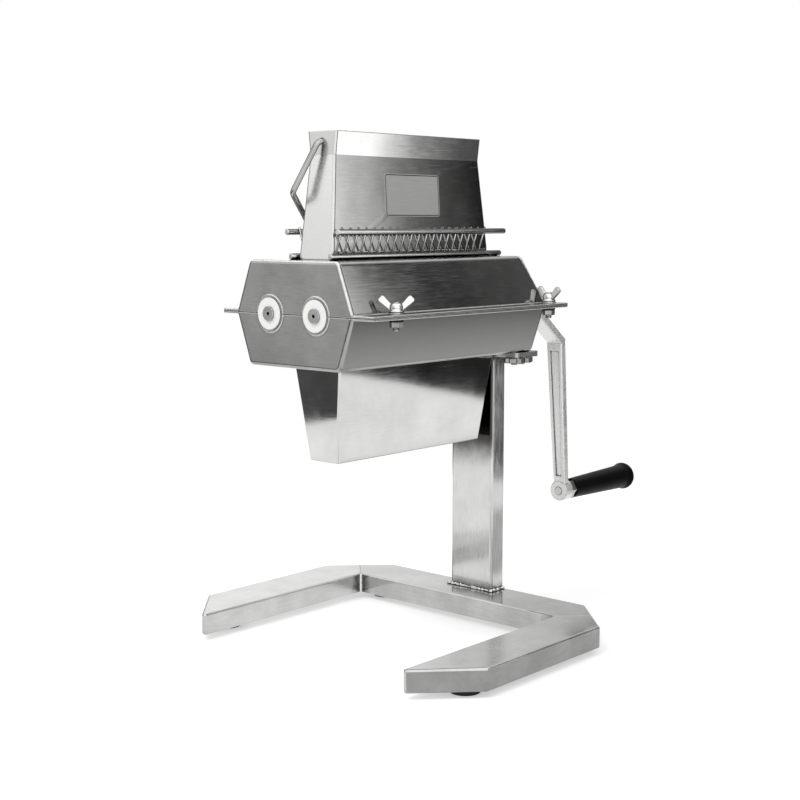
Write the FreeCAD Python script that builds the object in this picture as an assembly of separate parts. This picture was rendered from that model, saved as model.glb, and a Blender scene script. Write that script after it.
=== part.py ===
"""Hand-cranked meat tenderizer: a roller head on a column and a C-shaped tube base.

Everything is drawn with X along the rollers from the outer face of the head's left
end, Y across the head from its middle plane, and Z up from the floor. When a piece
is written it is moved along X, so that the origin ends up on the floor under the
middle of the whole machine. All sizes are in millimetres.
"""
import FreeCAD
import Part
import math
import os

from FreeCAD import Vector

# ---------------------------------------------------------------- base and column
foot_height = 5.0
foot_radius = 13.5
foot_recess_radius = 6.0
foot_chamfer = 0.8
foot_recess_depth = 2.6
foot_screw_radius = 2.0
foot_screw_head_radius = 4.0
foot_screw_head_height = 2.0
foot_screw_length = 8.0
foot_toe_inset = 53.5
foot_back_spread = 108.0

bar_width = 50.0
bar_height = 20.0
bar_wall = 2.0
bar_edge_radius = 2.0
bar_corner_radius = 3.0
base_toe_x = -2.5
base_toe_run = 52.0
base_back_inset = 55.0
base_opening_half = 120.0

column_width = 50.0
column_depth = 20.0
column_wall = 2.0
column_edge_radius = 2.5
column_height = 228.0
column_inset = 1.0
weld_leg = 3.5

plate_thickness = 5.0
plate_length = 35.0
plate_half_width = 53.5
plate_corner_radius = 4.0
stud_radius = 3.0
stud_y = 46.0
stud_first_inset = 6.0
stud_last_inset = 17.5
stud_projection = 2.0
nut_flats = 10.0
nut_height = 5.0

# ---------------------------------------------------------------- head
housing_sheet = 2.0
head_length = 264.0
head_top_slope = 16.0
seam_half = 69.0
top_half = 52.0
bottom_half = 53.0
upper_height = 45.0
lower_height = 45.0
hip_radius = 6.0
corner_radius = 5.6
rim_radius = 5.0
left_edge_radius = 3.0
flange_width = 20.0
flange_start = 2.0
flange_overrun = 6.0
flange_corner = 3.0

roller_spacing = 54.0
bush_radius = 14.0
bush_stand = 1.2
bush_shoulder_radius = 16.5
bush_shoulder = 2.5
collar_wall = 2.0
collar_stand = 0.8
collar_length = 8.0
right_collar_length = 12.0
fixed_fit = 0.05
running_fit = 0.05
cover_gap = 0.3

# ---------------------------------------------------------------- flange bolts
bolt_left_x = 41.0
bolt_right_inset = 12.0
bolt_radius = 3.0
bolt_hole_gap = 0.4
bolt_top = 10.0
bolt_bottom_stand = 3.0
bolt_chamfer = 0.6
lower_washer_radius = 6.0
lower_washer_height = 2.0
upper_washer_radius = 6.5
upper_washer_height = 1.2
wing_hub_radius = 6.0
wing_hub_top_radius = 4.8
wing_hub_height = 8.0
wing_root = (4.6, 4.2)
wing_tip = (11.2, 10.6)
wing_round = 2.9
wing_thickness = 3.0
wing_angles = {
    "front_left": -48.5,
    "front_right": 78.0,
    "rear_left": 20.0,
    "rear_right": -30.0,
}

# ---------------------------------------------------------------- rollers
blade_pitch = 10.0
blade_thickness = 1.5
blade_tip_radius = 30.0
blade_root_radius = 25.0
blade_teeth = 20
last_blade_gap = 10.0
tooth_land_end = 0.2
tooth_tip_start = 0.42
tooth_tip_end = 0.78
first_blade_x = 36.0
hex_flats = 14.0
spacer_radius = 10.0
shaft_start_stand = 1.5
left_journal_radius = 6.1
shaft_body_start = 12.0
circlip_width = 1.2
circlip_radius = 11.0
circlip_groove_radius = 6.5
circlip_play = 0.5
shaft_shoulder_inset = 28.0
shaft_shoulder_width = 2.0
shaft_shoulder_radius = 10.0
right_journal_radius = 8.0
centre_hole_radius = 1.6
centre_hole_depth = 5.0

gear_module = 3.0
gear_teeth = 18
gear_width = 12.0
gear_backlash = 0.3
gear_root_share = 1.25
pressure_angle = math.radians(20.0)
key_size = 4.0
key_length = 10.0

# ---------------------------------------------------------------- crank
crank_radius = 194.0
hub_gap = 12.0
hub_length = 24.0
hub_radius = 14.0
drive_square = 12.0
drive_length = 20.0
arm_root_inset = 8.0
arm_root_drop = 6.0
arm_bend_run = 37.5
arm_bend_drop = 41.0
arm_foot_run = 12.5
arm_thickness = 8.0
arm_root_width = 19.0
arm_foot_width = 13.5
arm_edge_radius = 1.5
arm_rib = 3.6
arm_recess = 1.4
arm_recess_inset = 10.0
boss_back = 5.0
boss_length = 12.0
boss_radius = 10.2
crank_washer_radius = 8.0
crank_washer_height = 1.6
crank_washer_gap = 0.3
crank_screw_radius = 3.0
crank_screw_depth = 16.0
crank_screw_head_radius = 5.0
crank_screw_head_height = 6.0
crank_screw_socket = 5.0

spindle_shank_radius = 4.0
spindle_stand = 0.5
collar_flats = 17.0
spindle_collar = 7.0
spindle_radius = 5.0
spindle_inset = 11.0
grip_gap = 0.5
grip_near_radius = 10.0
grip_far_radius = 12.2
grip_length = 101.5
grip_flare_inset = 14.0
grip_rim_inset = 6.5
grip_rim_radius = 13.9
grip_rim_step = 0.4
grip_nose_round = 1.5
grip_flare_sag = (0.6, 0.5)
grip_end_play = 0.4
grip_pocket_radius = 8.5
grip_washer_radius = 7.5
grip_washer_height = 1.5
grip_screw_radius = 2.5
grip_screw_head_radius = 4.5
grip_screw_head_height = 3.0
grip_screw_depth = 10.0
cap_depth = 3.0
cap_rise = 3.0
cap_flat_radius = 1.0
cap_mean_share = 0.8

# ---------------------------------------------------------------- chute
chute_sheet = 1.5
chute_top_x0 = 28.0
chute_column_gap = 1.5
chute_top_half = 27.0
chute_foot_x0 = 36.0
chute_foot_lean = 8.5
chute_foot_half = 16.8
chute_drop = 83.0
chute_lip = 6.0
chute_fold = 2.0

# ---------------------------------------------------------------- hood
hood_sheet = 1.5
hood_foot_x0 = 27.3
hood_foot_inset = 27.5
hood_foot_half = 20.0
hood_neck_x0 = 36.0
hood_neck_inset = 36.5
hood_neck_half = 14.5
hood_rim_half = 17.0
hood_skirt_height = 87.0
hood_rim_height = 20.0
hood_skirt_gap = 6.5
hood_fold = 2.2
opening_inset = 0.6
opening_half = 30.0
opening_radius = 3.0

plate_x_length = 72.0
plate_z_length = 37.0
plate_rise = 54.5
name_plate_sheet = 0.6
name_plate_radius = 3.0

bail_radius = 2.5
bail_pivot_rise = 98.5
bail_inner_end = 3.0
bail_stand = 4.0
bail_arm_straight = 47.0
bail_arm_length = 75.0
bail_splay = 16.0
bail_chamfer = 30.0
bail_bend_radius = 5.5
bail_pin_washer_radius = 4.5
bail_pin_washer_height = 1.0
bail_gap = 0.3

# ---------------------------------------------------------------- stripper combs
comb_rod_radius = 2.5
comb_rod_chamfer = 0.5
upper_rod_start = 23.0
upper_rod_inset = 17.0
lower_rod_start = 21.0
lower_rod_inset = 15.0
upper_rod_y = 30.0
upper_rod_rise = 23.0
lower_rod_y = 23.3
wire_radius = 0.9
wire_weld = 0.1
wire_nip_y = 10.0
wire_bend_rise = 25.0
wire_drop = 30.0
wire_tip_rise = 3.0
first_wire_x = 31.0

# ---------------------------------------------------------------- derived places
overcut = 1.0
tolerance = 0.01
bar_top = foot_height + bar_height
column_top = bar_top + column_height
head_bottom = column_top + plate_thickness
seam = head_bottom + lower_height
head_top = seam + upper_height
hood_neck = head_top + hood_skirt_height
hood_top = hood_neck + hood_rim_height
hood_skirt = head_top + hood_skirt_gap
head_top_length = head_length - head_top_slope
base_back_x = head_length - base_back_inset
base_outer_half = base_opening_half + bar_width
base_back_end = base_back_x + bar_width
column_x1 = base_back_end - column_inset
column_x0 = column_x1 - column_depth
stud_x_first = column_x0 + stud_first_inset
stud_x_last = column_x0 + stud_last_inset
flange_half = seam_half + flange_width
flange_x1 = head_length + flange_overrun
bolt_y = seam_half + flange_width / 2
bolt_right_x = head_length - bolt_right_inset
front_y = -roller_spacing / 2
rear_y = roller_spacing / 2
right_collar_x0 = head_length + collar_stand - right_collar_length
shaft_shoulder_x = head_length - shaft_shoulder_inset
gear_x0 = shaft_shoulder_x + shaft_shoulder_width
gear_pitch_radius = gear_module * gear_teeth / 2
shaft_start = -bush_stand - shaft_start_stand
blade_count = 1 + int((shaft_shoulder_x - last_blade_gap - first_blade_x) / blade_pitch + tolerance)
hub_start = head_length + hub_gap
hub_end = hub_start + hub_length
arm_bend_x = hub_end + arm_bend_run
arm_foot_x = arm_bend_x + arm_foot_run
boss_start = arm_foot_x - boss_back
boss_end = boss_start + boss_length
boss_z = seam - crank_radius
grip_start = boss_end + spindle_collar + grip_gap
grip_end = grip_start + grip_length
grip_flare_x = grip_end - grip_flare_inset
grip_rim_x = grip_end - grip_rim_inset
spindle_end = grip_end - spindle_inset
chute_top_x1 = column_x0 - chute_column_gap
chute_foot_x1 = chute_top_x1 - chute_foot_lean
hood_foot_x1 = head_length - hood_foot_inset
hood_neck_x1 = head_length - hood_neck_inset
upper_rod_end = head_length - upper_rod_inset
lower_rod_end = head_length - lower_rod_inset
chute_foot = head_bottom - chute_drop
upper_rod_z = head_top + upper_rod_rise
lower_rod_z = head_top + comb_rod_radius
bail_pivot_z = head_top + bail_pivot_rise
flange_top = seam + housing_sheet
flange_under = seam - housing_sheet
bolt_places = {
    "front_left": (bolt_left_x, -bolt_y),
    "front_right": (bolt_right_x, -bolt_y),
    "rear_left": (bolt_left_x, bolt_y),
    "rear_right": (bolt_right_x, bolt_y),
}
stud_places = [(x, y) for x in (stud_x_first, stud_x_last) for y in (-stud_y, stud_y)]
origin_x = (grip_end + cap_rise + shaft_start) / 2


# ---------------------------------------------------------------- shared shapes
def box(x0, x1, y0, y1, z0, z1):
    """A block between two corners."""
    return Part.makeBox(x1 - x0, y1 - y0, z1 - z0, Vector(x0, y0, z0))


def bar_x(x0, x1, y, z, radius):
    """A round bar that lies along X."""
    return Part.makeCylinder(radius, x1 - x0, Vector(x0, y, z), Vector(1, 0, 0))


def bar_z(x, y, z0, z1, radius):
    """A round bar that stands along Z."""
    return Part.makeCylinder(radius, z1 - z0, Vector(x, y, z0))


def prism(points, along):
    """A flat outline of points, pushed out by the vector along."""
    return Part.Face(Part.makePolygon(points + points[:1])).extrude(along)


def hexagon(flats, x, y, z, length, along_x):
    """A hexagon bar, by its width across flats, along X or along Z."""
    corner = flats / 2 / math.cos(math.pi / 6)
    points = []
    for step in range(6):
        angle = step * math.pi / 3
        side = corner * math.cos(angle)
        rise = corner * math.sin(angle)
        points.append(Vector(x, y + side, z + rise) if along_x else Vector(x + side, y + rise, z))
    return prism(points, Vector(length, 0, 0) if along_x else Vector(0, 0, length))


def ring_x(x0, x1, y, z, outer, inner):
    """A ring that lies along X."""
    return bar_x(x0, x1, y, z, outer).cut(bar_x(x0 - overcut, x1 + overcut, y, z, inner))


def ring_z(x, y, z0, z1, outer, inner):
    """A ring that stands along Z."""
    return bar_z(x, y, z0, z1, outer).cut(bar_z(x, y, z0 - overcut, z1 + overcut, inner))


def upright_edges(shape):
    """The edges of a block that run along Z."""
    return [edge for edge in shape.Edges if edge.BoundBox.XLength + edge.BoundBox.YLength < tolerance]


def join(pieces):
    """One solid from pieces that touch."""
    return pieces[0].fuse(pieces[1:]).removeSplitter()


def section_at(low, high, z):
    """The rectangle (x0, x1, half width, z) of a tapered block's walls at height z."""
    share = (z - low[3]) / (high[3] - low[3])
    return tuple(a + share * (b - a) for a, b in zip(low, high))


def inner_section(low, high, z, sheet):
    """That rectangle drawn in by one sheet, measured square to each wall."""
    rise = high[3] - low[3]
    x0, x1, half, _ = section_at(low, high, z)
    left, right, side = [sheet * math.hypot(1, (b - a) / rise) for a, b in zip(low[:3], high[:3])]
    return (x0 + left, x1 - right, half - side, z)


def rounded_section(section, fold):
    """A rectangle (x0, x1, half width, z) as a wire whose corners are arcs of radius fold."""
    x0, x1, half, z = section
    centres = [(x0 + fold, fold - half), (x1 - fold, fold - half), (x1 - fold, half - fold), (x0 + fold, half - fold)]
    arcs = []
    for step, (x, y) in enumerate(centres):
        start = math.pi + step * math.pi / 2
        points = [Vector(x + fold * math.cos(start + turn), y + fold * math.sin(start + turn), z)
                  for turn in (0, math.pi / 4, math.pi / 2)]
        arcs.append(points)
    edges = []
    for points, following in zip(arcs, arcs[1:] + arcs[:1]):
        edges.append(Part.Arc(*points).toShape())
        edges.append(Part.makeLine(points[2], following[0]))
    return Part.Wire(edges)


def tapered_block(low, high, fold=0):
    """A solid between two rectangles, each (x0, x1, half width, z), with corners of radius fold."""
    wires = []
    for section in (low, high):
        if fold:
            wires.append(rounded_section(section, fold))
            continue
        x0, x1, half, z = section
        corners = [Vector(x0, -half, z), Vector(x1, -half, z), Vector(x1, half, z), Vector(x0, half, z)]
        wires.append(Part.makePolygon(corners + corners[:1]))
    return Part.makeLoft(wires, True, True)


def rounded_head_block(low, high, rim_z, right_radius, rim, left=0):
    """A head half's block, rounded at its right corners, its closed rim and, if left is given, its left end."""
    block = tapered_block(low, high)
    boxes = [(edge, edge.BoundBox) for edge in block.Edges]
    corners = [e for e, b in boxes if b.ZLength > overcut and b.XMin > head_length / 2]
    block = block.makeFillet(right_radius, corners)
    boxes = [(edge, edge.BoundBox) for edge in block.Edges]
    rims = [e for e, b in boxes if b.ZLength < tolerance and abs(b.ZMin - rim_z) < tolerance and b.XMax > overcut]
    block = block.makeFillet(rim, rims)
    if not left:
        return block
    ends = [edge for edge in block.Edges if edge.BoundBox.XMax < low[0] + tolerance and rim_side(edge, rim_z)]
    return block.makeFillet(left, ends)


def rim_side(edge, rim_z):
    """True for an edge that isn't at the open side of a head half."""
    bounds = edge.BoundBox
    return bounds.ZLength > tolerance or abs(bounds.ZMin - rim_z) < rim_radius


def smooth_path(points, radius):
    """A wire through points whose corners are arcs of one radius."""
    edges = []
    start = points[0]
    for before, corner, after in zip(points, points[1:], points[2:]):
        back = (before - corner).normalize()
        ahead = (after - corner).normalize()
        turn = math.pi - back.getAngle(ahead)
        reach = radius * math.tan(turn / 2)
        first = corner + back * reach
        last = corner + ahead * reach
        bisector = (back + ahead).normalize()
        middle = corner + bisector * (radius / math.cos(turn / 2) - radius)
        edges.append(Part.makeLine(start, first))
        edges.append(Part.Arc(first, middle, last).toShape())
        start = last
    edges.append(Part.makeLine(start, points[-1]))
    return Part.Wire(edges)


def round_wire(path, radius):
    """A round rod bent along a path."""
    first = path.Edges[0]
    start = first.valueAt(first.FirstParameter)
    direction = first.tangentAt(first.FirstParameter)
    section = Part.Wire(Part.Circle(start, direction, radius).toShape())
    return path.makePipeShell([section], True, False)


# ---------------------------------------------------------------- base and column
def base_outline(inset):
    """The C-shaped outline of the base from above, drawn in by inset."""
    half_in = base_opening_half
    half_out = base_outer_half
    toe_out = base_toe_x + base_toe_run
    points = [
        Vector(base_toe_x, -half_in, 0), Vector(toe_out, -half_out, 0),
        Vector(base_back_x, -half_out, 0), Vector(base_back_end, -half_in, 0),
        Vector(base_back_end, half_in, 0), Vector(base_back_x, half_out, 0),
        Vector(toe_out, half_out, 0), Vector(base_toe_x, half_in, 0),
        Vector(base_back_x, half_in, 0), Vector(base_back_x, -half_in, 0),
    ]
    face = Part.Face(Part.makePolygon(points + points[:1]))
    return face.makeOffset2D(-inset, join=2) if inset else face


def foot_places():
    """Where the four feet stand: under the toes and under the back bar's ends."""
    toe_x = base_toe_x + foot_toe_inset
    arm_y = base_opening_half + bar_width / 2
    back_x = base_back_x + bar_width / 2
    return [(toe_x, -arm_y), (toe_x, arm_y), (back_x, -foot_back_spread), (back_x, foot_back_spread)]


def base_bars():
    """The three tubes of the base, mitred through the inner corners and welded."""
    outer = base_outline(0).extrude(Vector(0, 0, bar_height))
    notch = Part.makeCompound([Part.Vertex(base_back_x, side * base_opening_half, 0) for side in (-1, 1)])
    corners = [e for e in upright_edges(outer) if e.distToShape(notch)[0] > tolerance]
    outer = outer.makeFillet(bar_corner_radius, corners)
    loops = [e for e in outer.Edges if e.BoundBox.ZLength < tolerance]
    outer = outer.makeFillet(bar_edge_radius, loops)
    outer.translate(Vector(0, 0, foot_height))
    hollow = base_outline(bar_wall).extrude(Vector(0, 0, bar_height - 2 * bar_wall))
    hollow.translate(Vector(0, 0, foot_height + bar_wall))
    frame = outer.cut(hollow)
    for x, y in foot_places():
        frame = frame.cut(bar_z(x, y, foot_height - overcut, foot_height + bar_wall + overcut, foot_screw_radius))
    pieces = {}
    reach = 2 * bar_width
    for side, name in ((-1, "base_front_arm"), (1, "base_rear_arm")):
        start = base_back_x - bar_width / 4
        region = prism([
            Vector(-reach, side * (base_opening_half - bar_width / 4), 0),
            Vector(start, side * (base_opening_half - bar_width / 4), 0),
            Vector(start + reach, side * (base_opening_half - bar_width / 4 + reach), 0),
            Vector(-reach, side * (base_opening_half - bar_width / 4 + reach), 0),
        ], Vector(0, 0, bar_top + overcut))
        pieces[name] = frame.common(region)
        frame = frame.cut(region)
    pieces["base_back_bar"] = frame
    return pieces


def rubber_feet():
    """Four rubber discs with a recess below for the screw head."""
    feet = []
    for x, y in foot_places():
        foot = bar_z(x, y, 0, foot_height, foot_radius)
        foot = foot.makeChamfer(foot_chamfer, [e for e in foot.Edges if abs(e.BoundBox.ZMax) < tolerance])
        foot = foot.cut(bar_z(x, y, -overcut, foot_recess_depth, foot_recess_radius))
        feet.append(foot.cut(bar_z(x, y, 0, foot_height + overcut, foot_screw_radius + fixed_fit)))
    return Part.makeCompound(feet)


def foot_screws():
    """Pan-head screws that hold the feet to the tubes."""
    screws = []
    for x, y in foot_places():
        head_z = foot_recess_depth - foot_screw_head_height
        head = bar_z(x, y, head_z, foot_recess_depth, foot_screw_head_radius)
        shank = bar_z(x, y, foot_recess_depth, head_z + foot_screw_length, foot_screw_radius - fixed_fit)
        screws.append(join([head, shank]))
    return Part.makeCompound(screws)


def column():
    """The upright tube, flush with the outer side of the back bar."""
    half = column_width / 2
    outer = box(column_x0, column_x1, -half, half, bar_top, column_top)
    outer = outer.makeFillet(column_edge_radius, upright_edges(outer))
    hollow = box(column_x0 + column_wall, column_x1 - column_wall, column_wall - half, half - column_wall,
                 bar_top - overcut, column_top + overcut)
    return outer.cut(hollow)


def column_weld():
    """Fillet welds along the foot of the column, on the three sides that have room."""
    half = column_width / 2
    top = bar_top + weld_leg
    inner = [Vector(column_x0, -half, bar_top), Vector(column_x0 - weld_leg, -half, bar_top),
             Vector(column_x0, -half, top)]
    beads = [prism(inner, Vector(0, column_width, 0))]
    for side in (-1, 1):
        wall = side * half
        bead = [Vector(column_x0, wall, bar_top), Vector(column_x0, wall + side * weld_leg, bar_top),
                Vector(column_x0, wall, top)]
        beads.append(prism(bead, Vector(column_depth, 0, 0)))
    return join(beads)


def head_mount_plate():
    """The flat plate on top of the column that the head is bolted to."""
    plate = box(column_x0, column_x0 + plate_length, -plate_half_width, plate_half_width,
                column_top, head_bottom)
    plate = plate.makeFillet(plate_corner_radius, upright_edges(plate))
    for x, y in stud_places:
        plate = plate.cut(bar_z(x, y, column_top - overcut, head_bottom + overcut, stud_radius + bolt_hole_gap))
    return plate


def mount_nuts():
    """The four nuts that draw the head's studs down against the plate."""
    nuts = []
    for x, y in stud_places:
        low = column_top - nut_height
        nut = hexagon(nut_flats, x, y, low, nut_height, False)
        nuts.append(nut.cut(bar_z(x, y, low - overcut, column_top + overcut, stud_radius + fixed_fit)))
    return Part.makeCompound(nuts)


# ---------------------------------------------------------------- head housing
def housing_half(low, high, rim_z, right_radius):
    """The folded sheet shell of one head half, open at the seam."""
    outer = rounded_head_block(low, high, rim_z, right_radius, rim_radius, left_edge_radius)
    inward = housing_sheet if rim_z < seam else -housing_sheet
    inner_rim = inner_section(low, high, rim_z + inward, housing_sheet)
    inner_open = inner_section(low, high, seam + math.copysign(overcut, inward), housing_sheet)
    pair = (inner_rim, inner_open) if rim_z < seam else (inner_open, inner_rim)
    inner = rounded_head_block(pair[0], pair[1], inner_rim[3], right_radius - housing_sheet, rim_radius - housing_sheet)
    return outer.cut(inner)


def flange(z0):
    """One flange along each long side of a head half."""
    strips = []
    for side in (-1, 1):
        inner = side * (seam_half - housing_sheet / 2)
        y0, y1 = sorted((inner, side * flange_half))
        strip = box(flange_start, flange_x1, y0, y1, z0, z0 + housing_sheet)
        outer_corners = [e for e in upright_edges(strip) if abs(abs(e.BoundBox.YMin) - flange_half) < tolerance]
        strips.append(strip.makeFillet(flange_corner, outer_corners))
    return strips


def end_bores(gap):
    """Short bores that clear the bushes through both end walls and their collars."""
    bores = []
    for y in (front_y, rear_y):
        bores.append(bar_x(-collar_stand - overcut, collar_length - collar_stand, y, seam, bush_radius + gap))
        bores.append(bar_x(right_collar_x0, head_length + collar_stand + overcut, y, seam, bush_radius + gap))
    return bores


def collars(z0, z1):
    """The half rings at both ends of one head half, from z0 to z1."""
    half_space = box(-collar_length, head_length + collar_length, -seam_half, seam_half, z0, z1)
    rings = []
    for y in (front_y, rear_y):
        left = bar_x(-collar_stand, collar_length - collar_stand, y, seam, bush_radius + collar_wall)
        right = bar_x(right_collar_x0, head_length + collar_stand, y, seam, bush_radius + collar_wall)
        rings.extend([left.common(half_space), right.common(half_space)])
    return rings


def bolt_holes(z0, z1):
    """The four clearance holes for the flange bolts."""
    return [bar_z(x, y, z0, z1, bolt_radius + bolt_hole_gap) for x, y in bolt_places.values()]


def lower_housing():
    """The lower half of the head, with its flange, bush seats and four welded studs."""
    low = (0.0, head_length, bottom_half, head_bottom)
    high = (0.0, head_length, seam_half, seam)
    shell = housing_half(low, high, head_bottom, corner_radius)
    shell = join([shell] + flange(flange_under) + collars(head_bottom, seam))
    cuts = end_bores(fixed_fit) + bolt_holes(flange_under - overcut, seam + overcut)
    cuts.append(box(chute_top_x0, chute_top_x1, -chute_top_half, chute_top_half,
                    head_bottom - overcut, head_bottom + housing_sheet + overcut))
    shell = shell.cut(cuts)
    stud_end = column_top - nut_height - stud_projection
    studs = [bar_z(x, y, stud_end, head_bottom + housing_sheet / 2, stud_radius) for x, y in stud_places]
    return join([shell] + studs)


def upper_housing():
    """The upper half of the head, with its flange, bush seats and feed opening."""
    low = (0.0, head_length, seam_half, seam)
    high = (0.0, head_top_length, top_half, head_top)
    shell = housing_half(low, high, head_top, hip_radius)
    shell = join([shell] + flange(seam) + collars(seam, head_top))
    x0 = hood_foot_x0 + hood_sheet + opening_inset
    x1 = hood_foot_x1 - hood_sheet - opening_inset
    opening = box(x0, x1, -opening_half, opening_half, head_top - 2 * housing_sheet, head_top + overcut)
    opening = opening.makeFillet(opening_radius, upright_edges(opening))
    cuts = end_bores(cover_gap) + bolt_holes(seam - overcut, flange_top + overcut)
    return shell.cut(cuts + [opening])


def discharge_chute():
    """The open tapered funnel under the head, hung from a lip inside the lower housing."""
    low = (chute_foot_x0, chute_foot_x1, chute_foot_half, chute_foot)
    high = (chute_top_x0, chute_top_x1, chute_top_half, head_bottom)
    throat_z = head_bottom + housing_sheet
    throat = high[:3] + (throat_z,)
    funnel = join([tapered_block(low, high, chute_fold), tapered_block(high, throat, chute_fold)])
    inner_low = inner_section(low, high, chute_foot - overcut, chute_sheet)
    inner_high = inner_section(low, high, head_bottom, chute_sheet)
    lip_top = throat_z + chute_sheet
    lip = box(chute_top_x0 - chute_lip, chute_top_x1 + chute_lip, -chute_top_half - chute_lip,
              chute_top_half + chute_lip, throat_z, lip_top)
    inner_top = inner_high[:3] + (lip_top + overcut,)
    fold = chute_fold - chute_sheet
    passage = join([tapered_block(inner_low, inner_high, fold), tapered_block(inner_high, inner_top, fold)])
    return join([funnel, lip]).cut(passage)


# ---------------------------------------------------------------- flange bolts
def flange_bolts():
    """Threaded rods through both flanges."""
    low = flange_under - lower_washer_height - nut_height - bolt_bottom_stand
    rods = []
    for x, y in bolt_places.values():
        rod = bar_z(x, y, low, flange_top + bolt_top, bolt_radius)
        rods.append(rod.makeChamfer(bolt_chamfer, [e for e in rod.Edges if e.BoundBox.ZLength < tolerance]))
    return Part.makeCompound(rods)


def lower_washers():
    """Dark rubber washers under the lower flange."""
    top = flange_under
    return Part.makeCompound([ring_z(x, y, top - lower_washer_height, top, lower_washer_radius,
                                     bolt_radius + fixed_fit) for x, y in bolt_places.values()])


def lower_nuts():
    """Hexagon nuts that hold the rods below the flange."""
    top = flange_under - lower_washer_height
    nuts = []
    for x, y in bolt_places.values():
        nut = hexagon(nut_flats, x, y, top - nut_height, nut_height, False)
        nuts.append(nut.cut(bar_z(x, y, top - nut_height - overcut, top + overcut, bolt_radius + fixed_fit)))
    return Part.makeCompound(nuts)


def upper_washers():
    """Plain steel washers under the wing nuts."""
    return Part.makeCompound([ring_z(x, y, flange_top, flange_top + upper_washer_height, upper_washer_radius,
                                     bolt_radius + bolt_hole_gap) for x, y in bolt_places.values()])


def wing_nut(corner):
    """A wing nut: a tapered hub with two rounded wings."""
    x, y = bolt_places[corner]
    low = flange_top + upper_washer_height
    hub = Part.makeCone(wing_hub_radius, wing_hub_top_radius, wing_hub_height)
    pieces = [hub]
    half = wing_thickness / 2
    for side in (-1, 1):
        ends = [Vector(side * r, -half, rise) for r, rise in (wing_root, wing_tip)]
        along = (ends[1] - ends[0]).normalize()
        across = Vector(-along.z, 0, along.x) * wing_round
        blade = prism([ends[0] + across, ends[1] + across, ends[1] - across, ends[0] - across],
                      Vector(0, wing_thickness, 0))
        rounds = [Part.makeCylinder(wing_round, wing_thickness, end, Vector(0, 1, 0)) for end in ends]
        pieces.extend([blade] + rounds)
    nut = join(pieces)
    nut = nut.cut(bar_z(0, 0, -overcut, wing_tip[1] + 2 * wing_round, bolt_radius + running_fit))
    nut.rotate(Vector(0, 0, 0), Vector(0, 0, 1), wing_angles[corner])
    nut.translate(Vector(x, y, low))
    return nut


# ---------------------------------------------------------------- bushes and rollers
def bush(y, left):
    """A white flanged bush, pushed into the collars from inside the head."""
    if left:
        body_x0 = -bush_stand
        body_x1 = collar_length - collar_stand
        shoulder_x0 = body_x1
        shaft_radius = left_journal_radius
    else:
        body_x0 = right_collar_x0
        body_x1 = head_length + bush_stand
        shoulder_x0 = body_x0 - bush_shoulder
        shaft_radius = right_journal_radius
    body = bar_x(body_x0, body_x1, y, seam, bush_radius)
    shoulder = bar_x(shoulder_x0, shoulder_x0 + bush_shoulder, y, seam, bush_shoulder_radius)
    whole = join([body, shoulder])
    return whole.cut(bar_x(-collar_length * 2, head_length + collar_length, y, seam, shaft_radius + running_fit))


def blade_places(first):
    """The middle of each blade along the roller."""
    return [first + blade_pitch * step for step in range(blade_count)]


def roller_shaft(y, end_x):
    """A roller shaft: round journals, a hexagon for the blades and a gear seat."""
    body_x1 = shaft_shoulder_x + shaft_shoulder_width
    left = bar_x(shaft_start, shaft_body_start, y, seam, left_journal_radius)
    hexagon_part = hexagon(hex_flats, shaft_body_start, y, seam, shaft_shoulder_x - shaft_body_start, True)
    shoulder = bar_x(shaft_shoulder_x, body_x1, y, seam, shaft_shoulder_radius)
    right = bar_x(body_x1, end_x, y, seam, right_journal_radius)
    shaft = join([left, hexagon_part, shoulder, right])
    centre = bar_x(shaft_start - overcut, shaft_start + centre_hole_depth, y, seam, centre_hole_radius)
    return shaft.cut([centre, circlip_groove(y), key_block(y, fixed_fit)])


def circlip_groove(y):
    """The groove near the left end of a shaft."""
    x0 = shaft_body_start + circlip_play
    return ring_x(x0, x0 + circlip_width, y, seam, hex_flats, circlip_groove_radius)


def key_block(y, gap):
    """The key between a shaft and its gear, larger by gap on each side."""
    middle = gear_x0 + gear_width / 2
    half_length = key_length / 2 + gap
    half = key_size / 2 + gap
    low = seam + right_journal_radius - half
    return box(middle - half_length, middle + half_length, y - half, y + half, low, low + 2 * half)


def front_shaft():
    """The driven shaft, which runs on through the right bush to the crank."""
    shaft = roller_shaft(front_y, hub_start)
    half = drive_square / 2
    square = box(hub_start, hub_start + drive_length, front_y - half, front_y + half, seam - half, seam + half)
    square = square.common(bar_x(hub_start, hub_start + drive_length, front_y, seam, right_journal_radius))
    hole = bar_x(hub_end - crank_screw_depth, hub_end, front_y, seam, crank_screw_radius + fixed_fit)
    return join([shaft, square]).cut(hole)


def rear_shaft():
    """The second shaft, which ends in the right bush."""
    return roller_shaft(rear_y, head_length + bush_stand)


def toothed_blade():
    """One thin steel disc with chisel-shaped teeth and a hexagon bore, centred at X = 0."""
    points = []
    pitch = 2 * math.pi / blade_teeth
    for tooth in range(blade_teeth):
        for radius, share in ((blade_root_radius, 0.0), (blade_root_radius, tooth_land_end),
                              (blade_tip_radius, tooth_tip_start), (blade_tip_radius, tooth_tip_end)):
            angle = (tooth + share) * pitch
            points.append(Vector(-blade_thickness / 2, radius * math.cos(angle), radius * math.sin(angle)))
    blade = prism(points, Vector(blade_thickness, 0, 0))
    return blade.cut(hexagon(hex_flats + 2 * fixed_fit, -blade_thickness, 0, 0, 2 * blade_thickness, True))


def blades(y, first):
    """The row of blades on one roller."""
    model = toothed_blade()
    row = []
    for x in blade_places(first):
        blade = model.copy()
        blade.translate(Vector(x, y, seam))
        row.append(blade)
    return Part.makeCompound(row)


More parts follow.
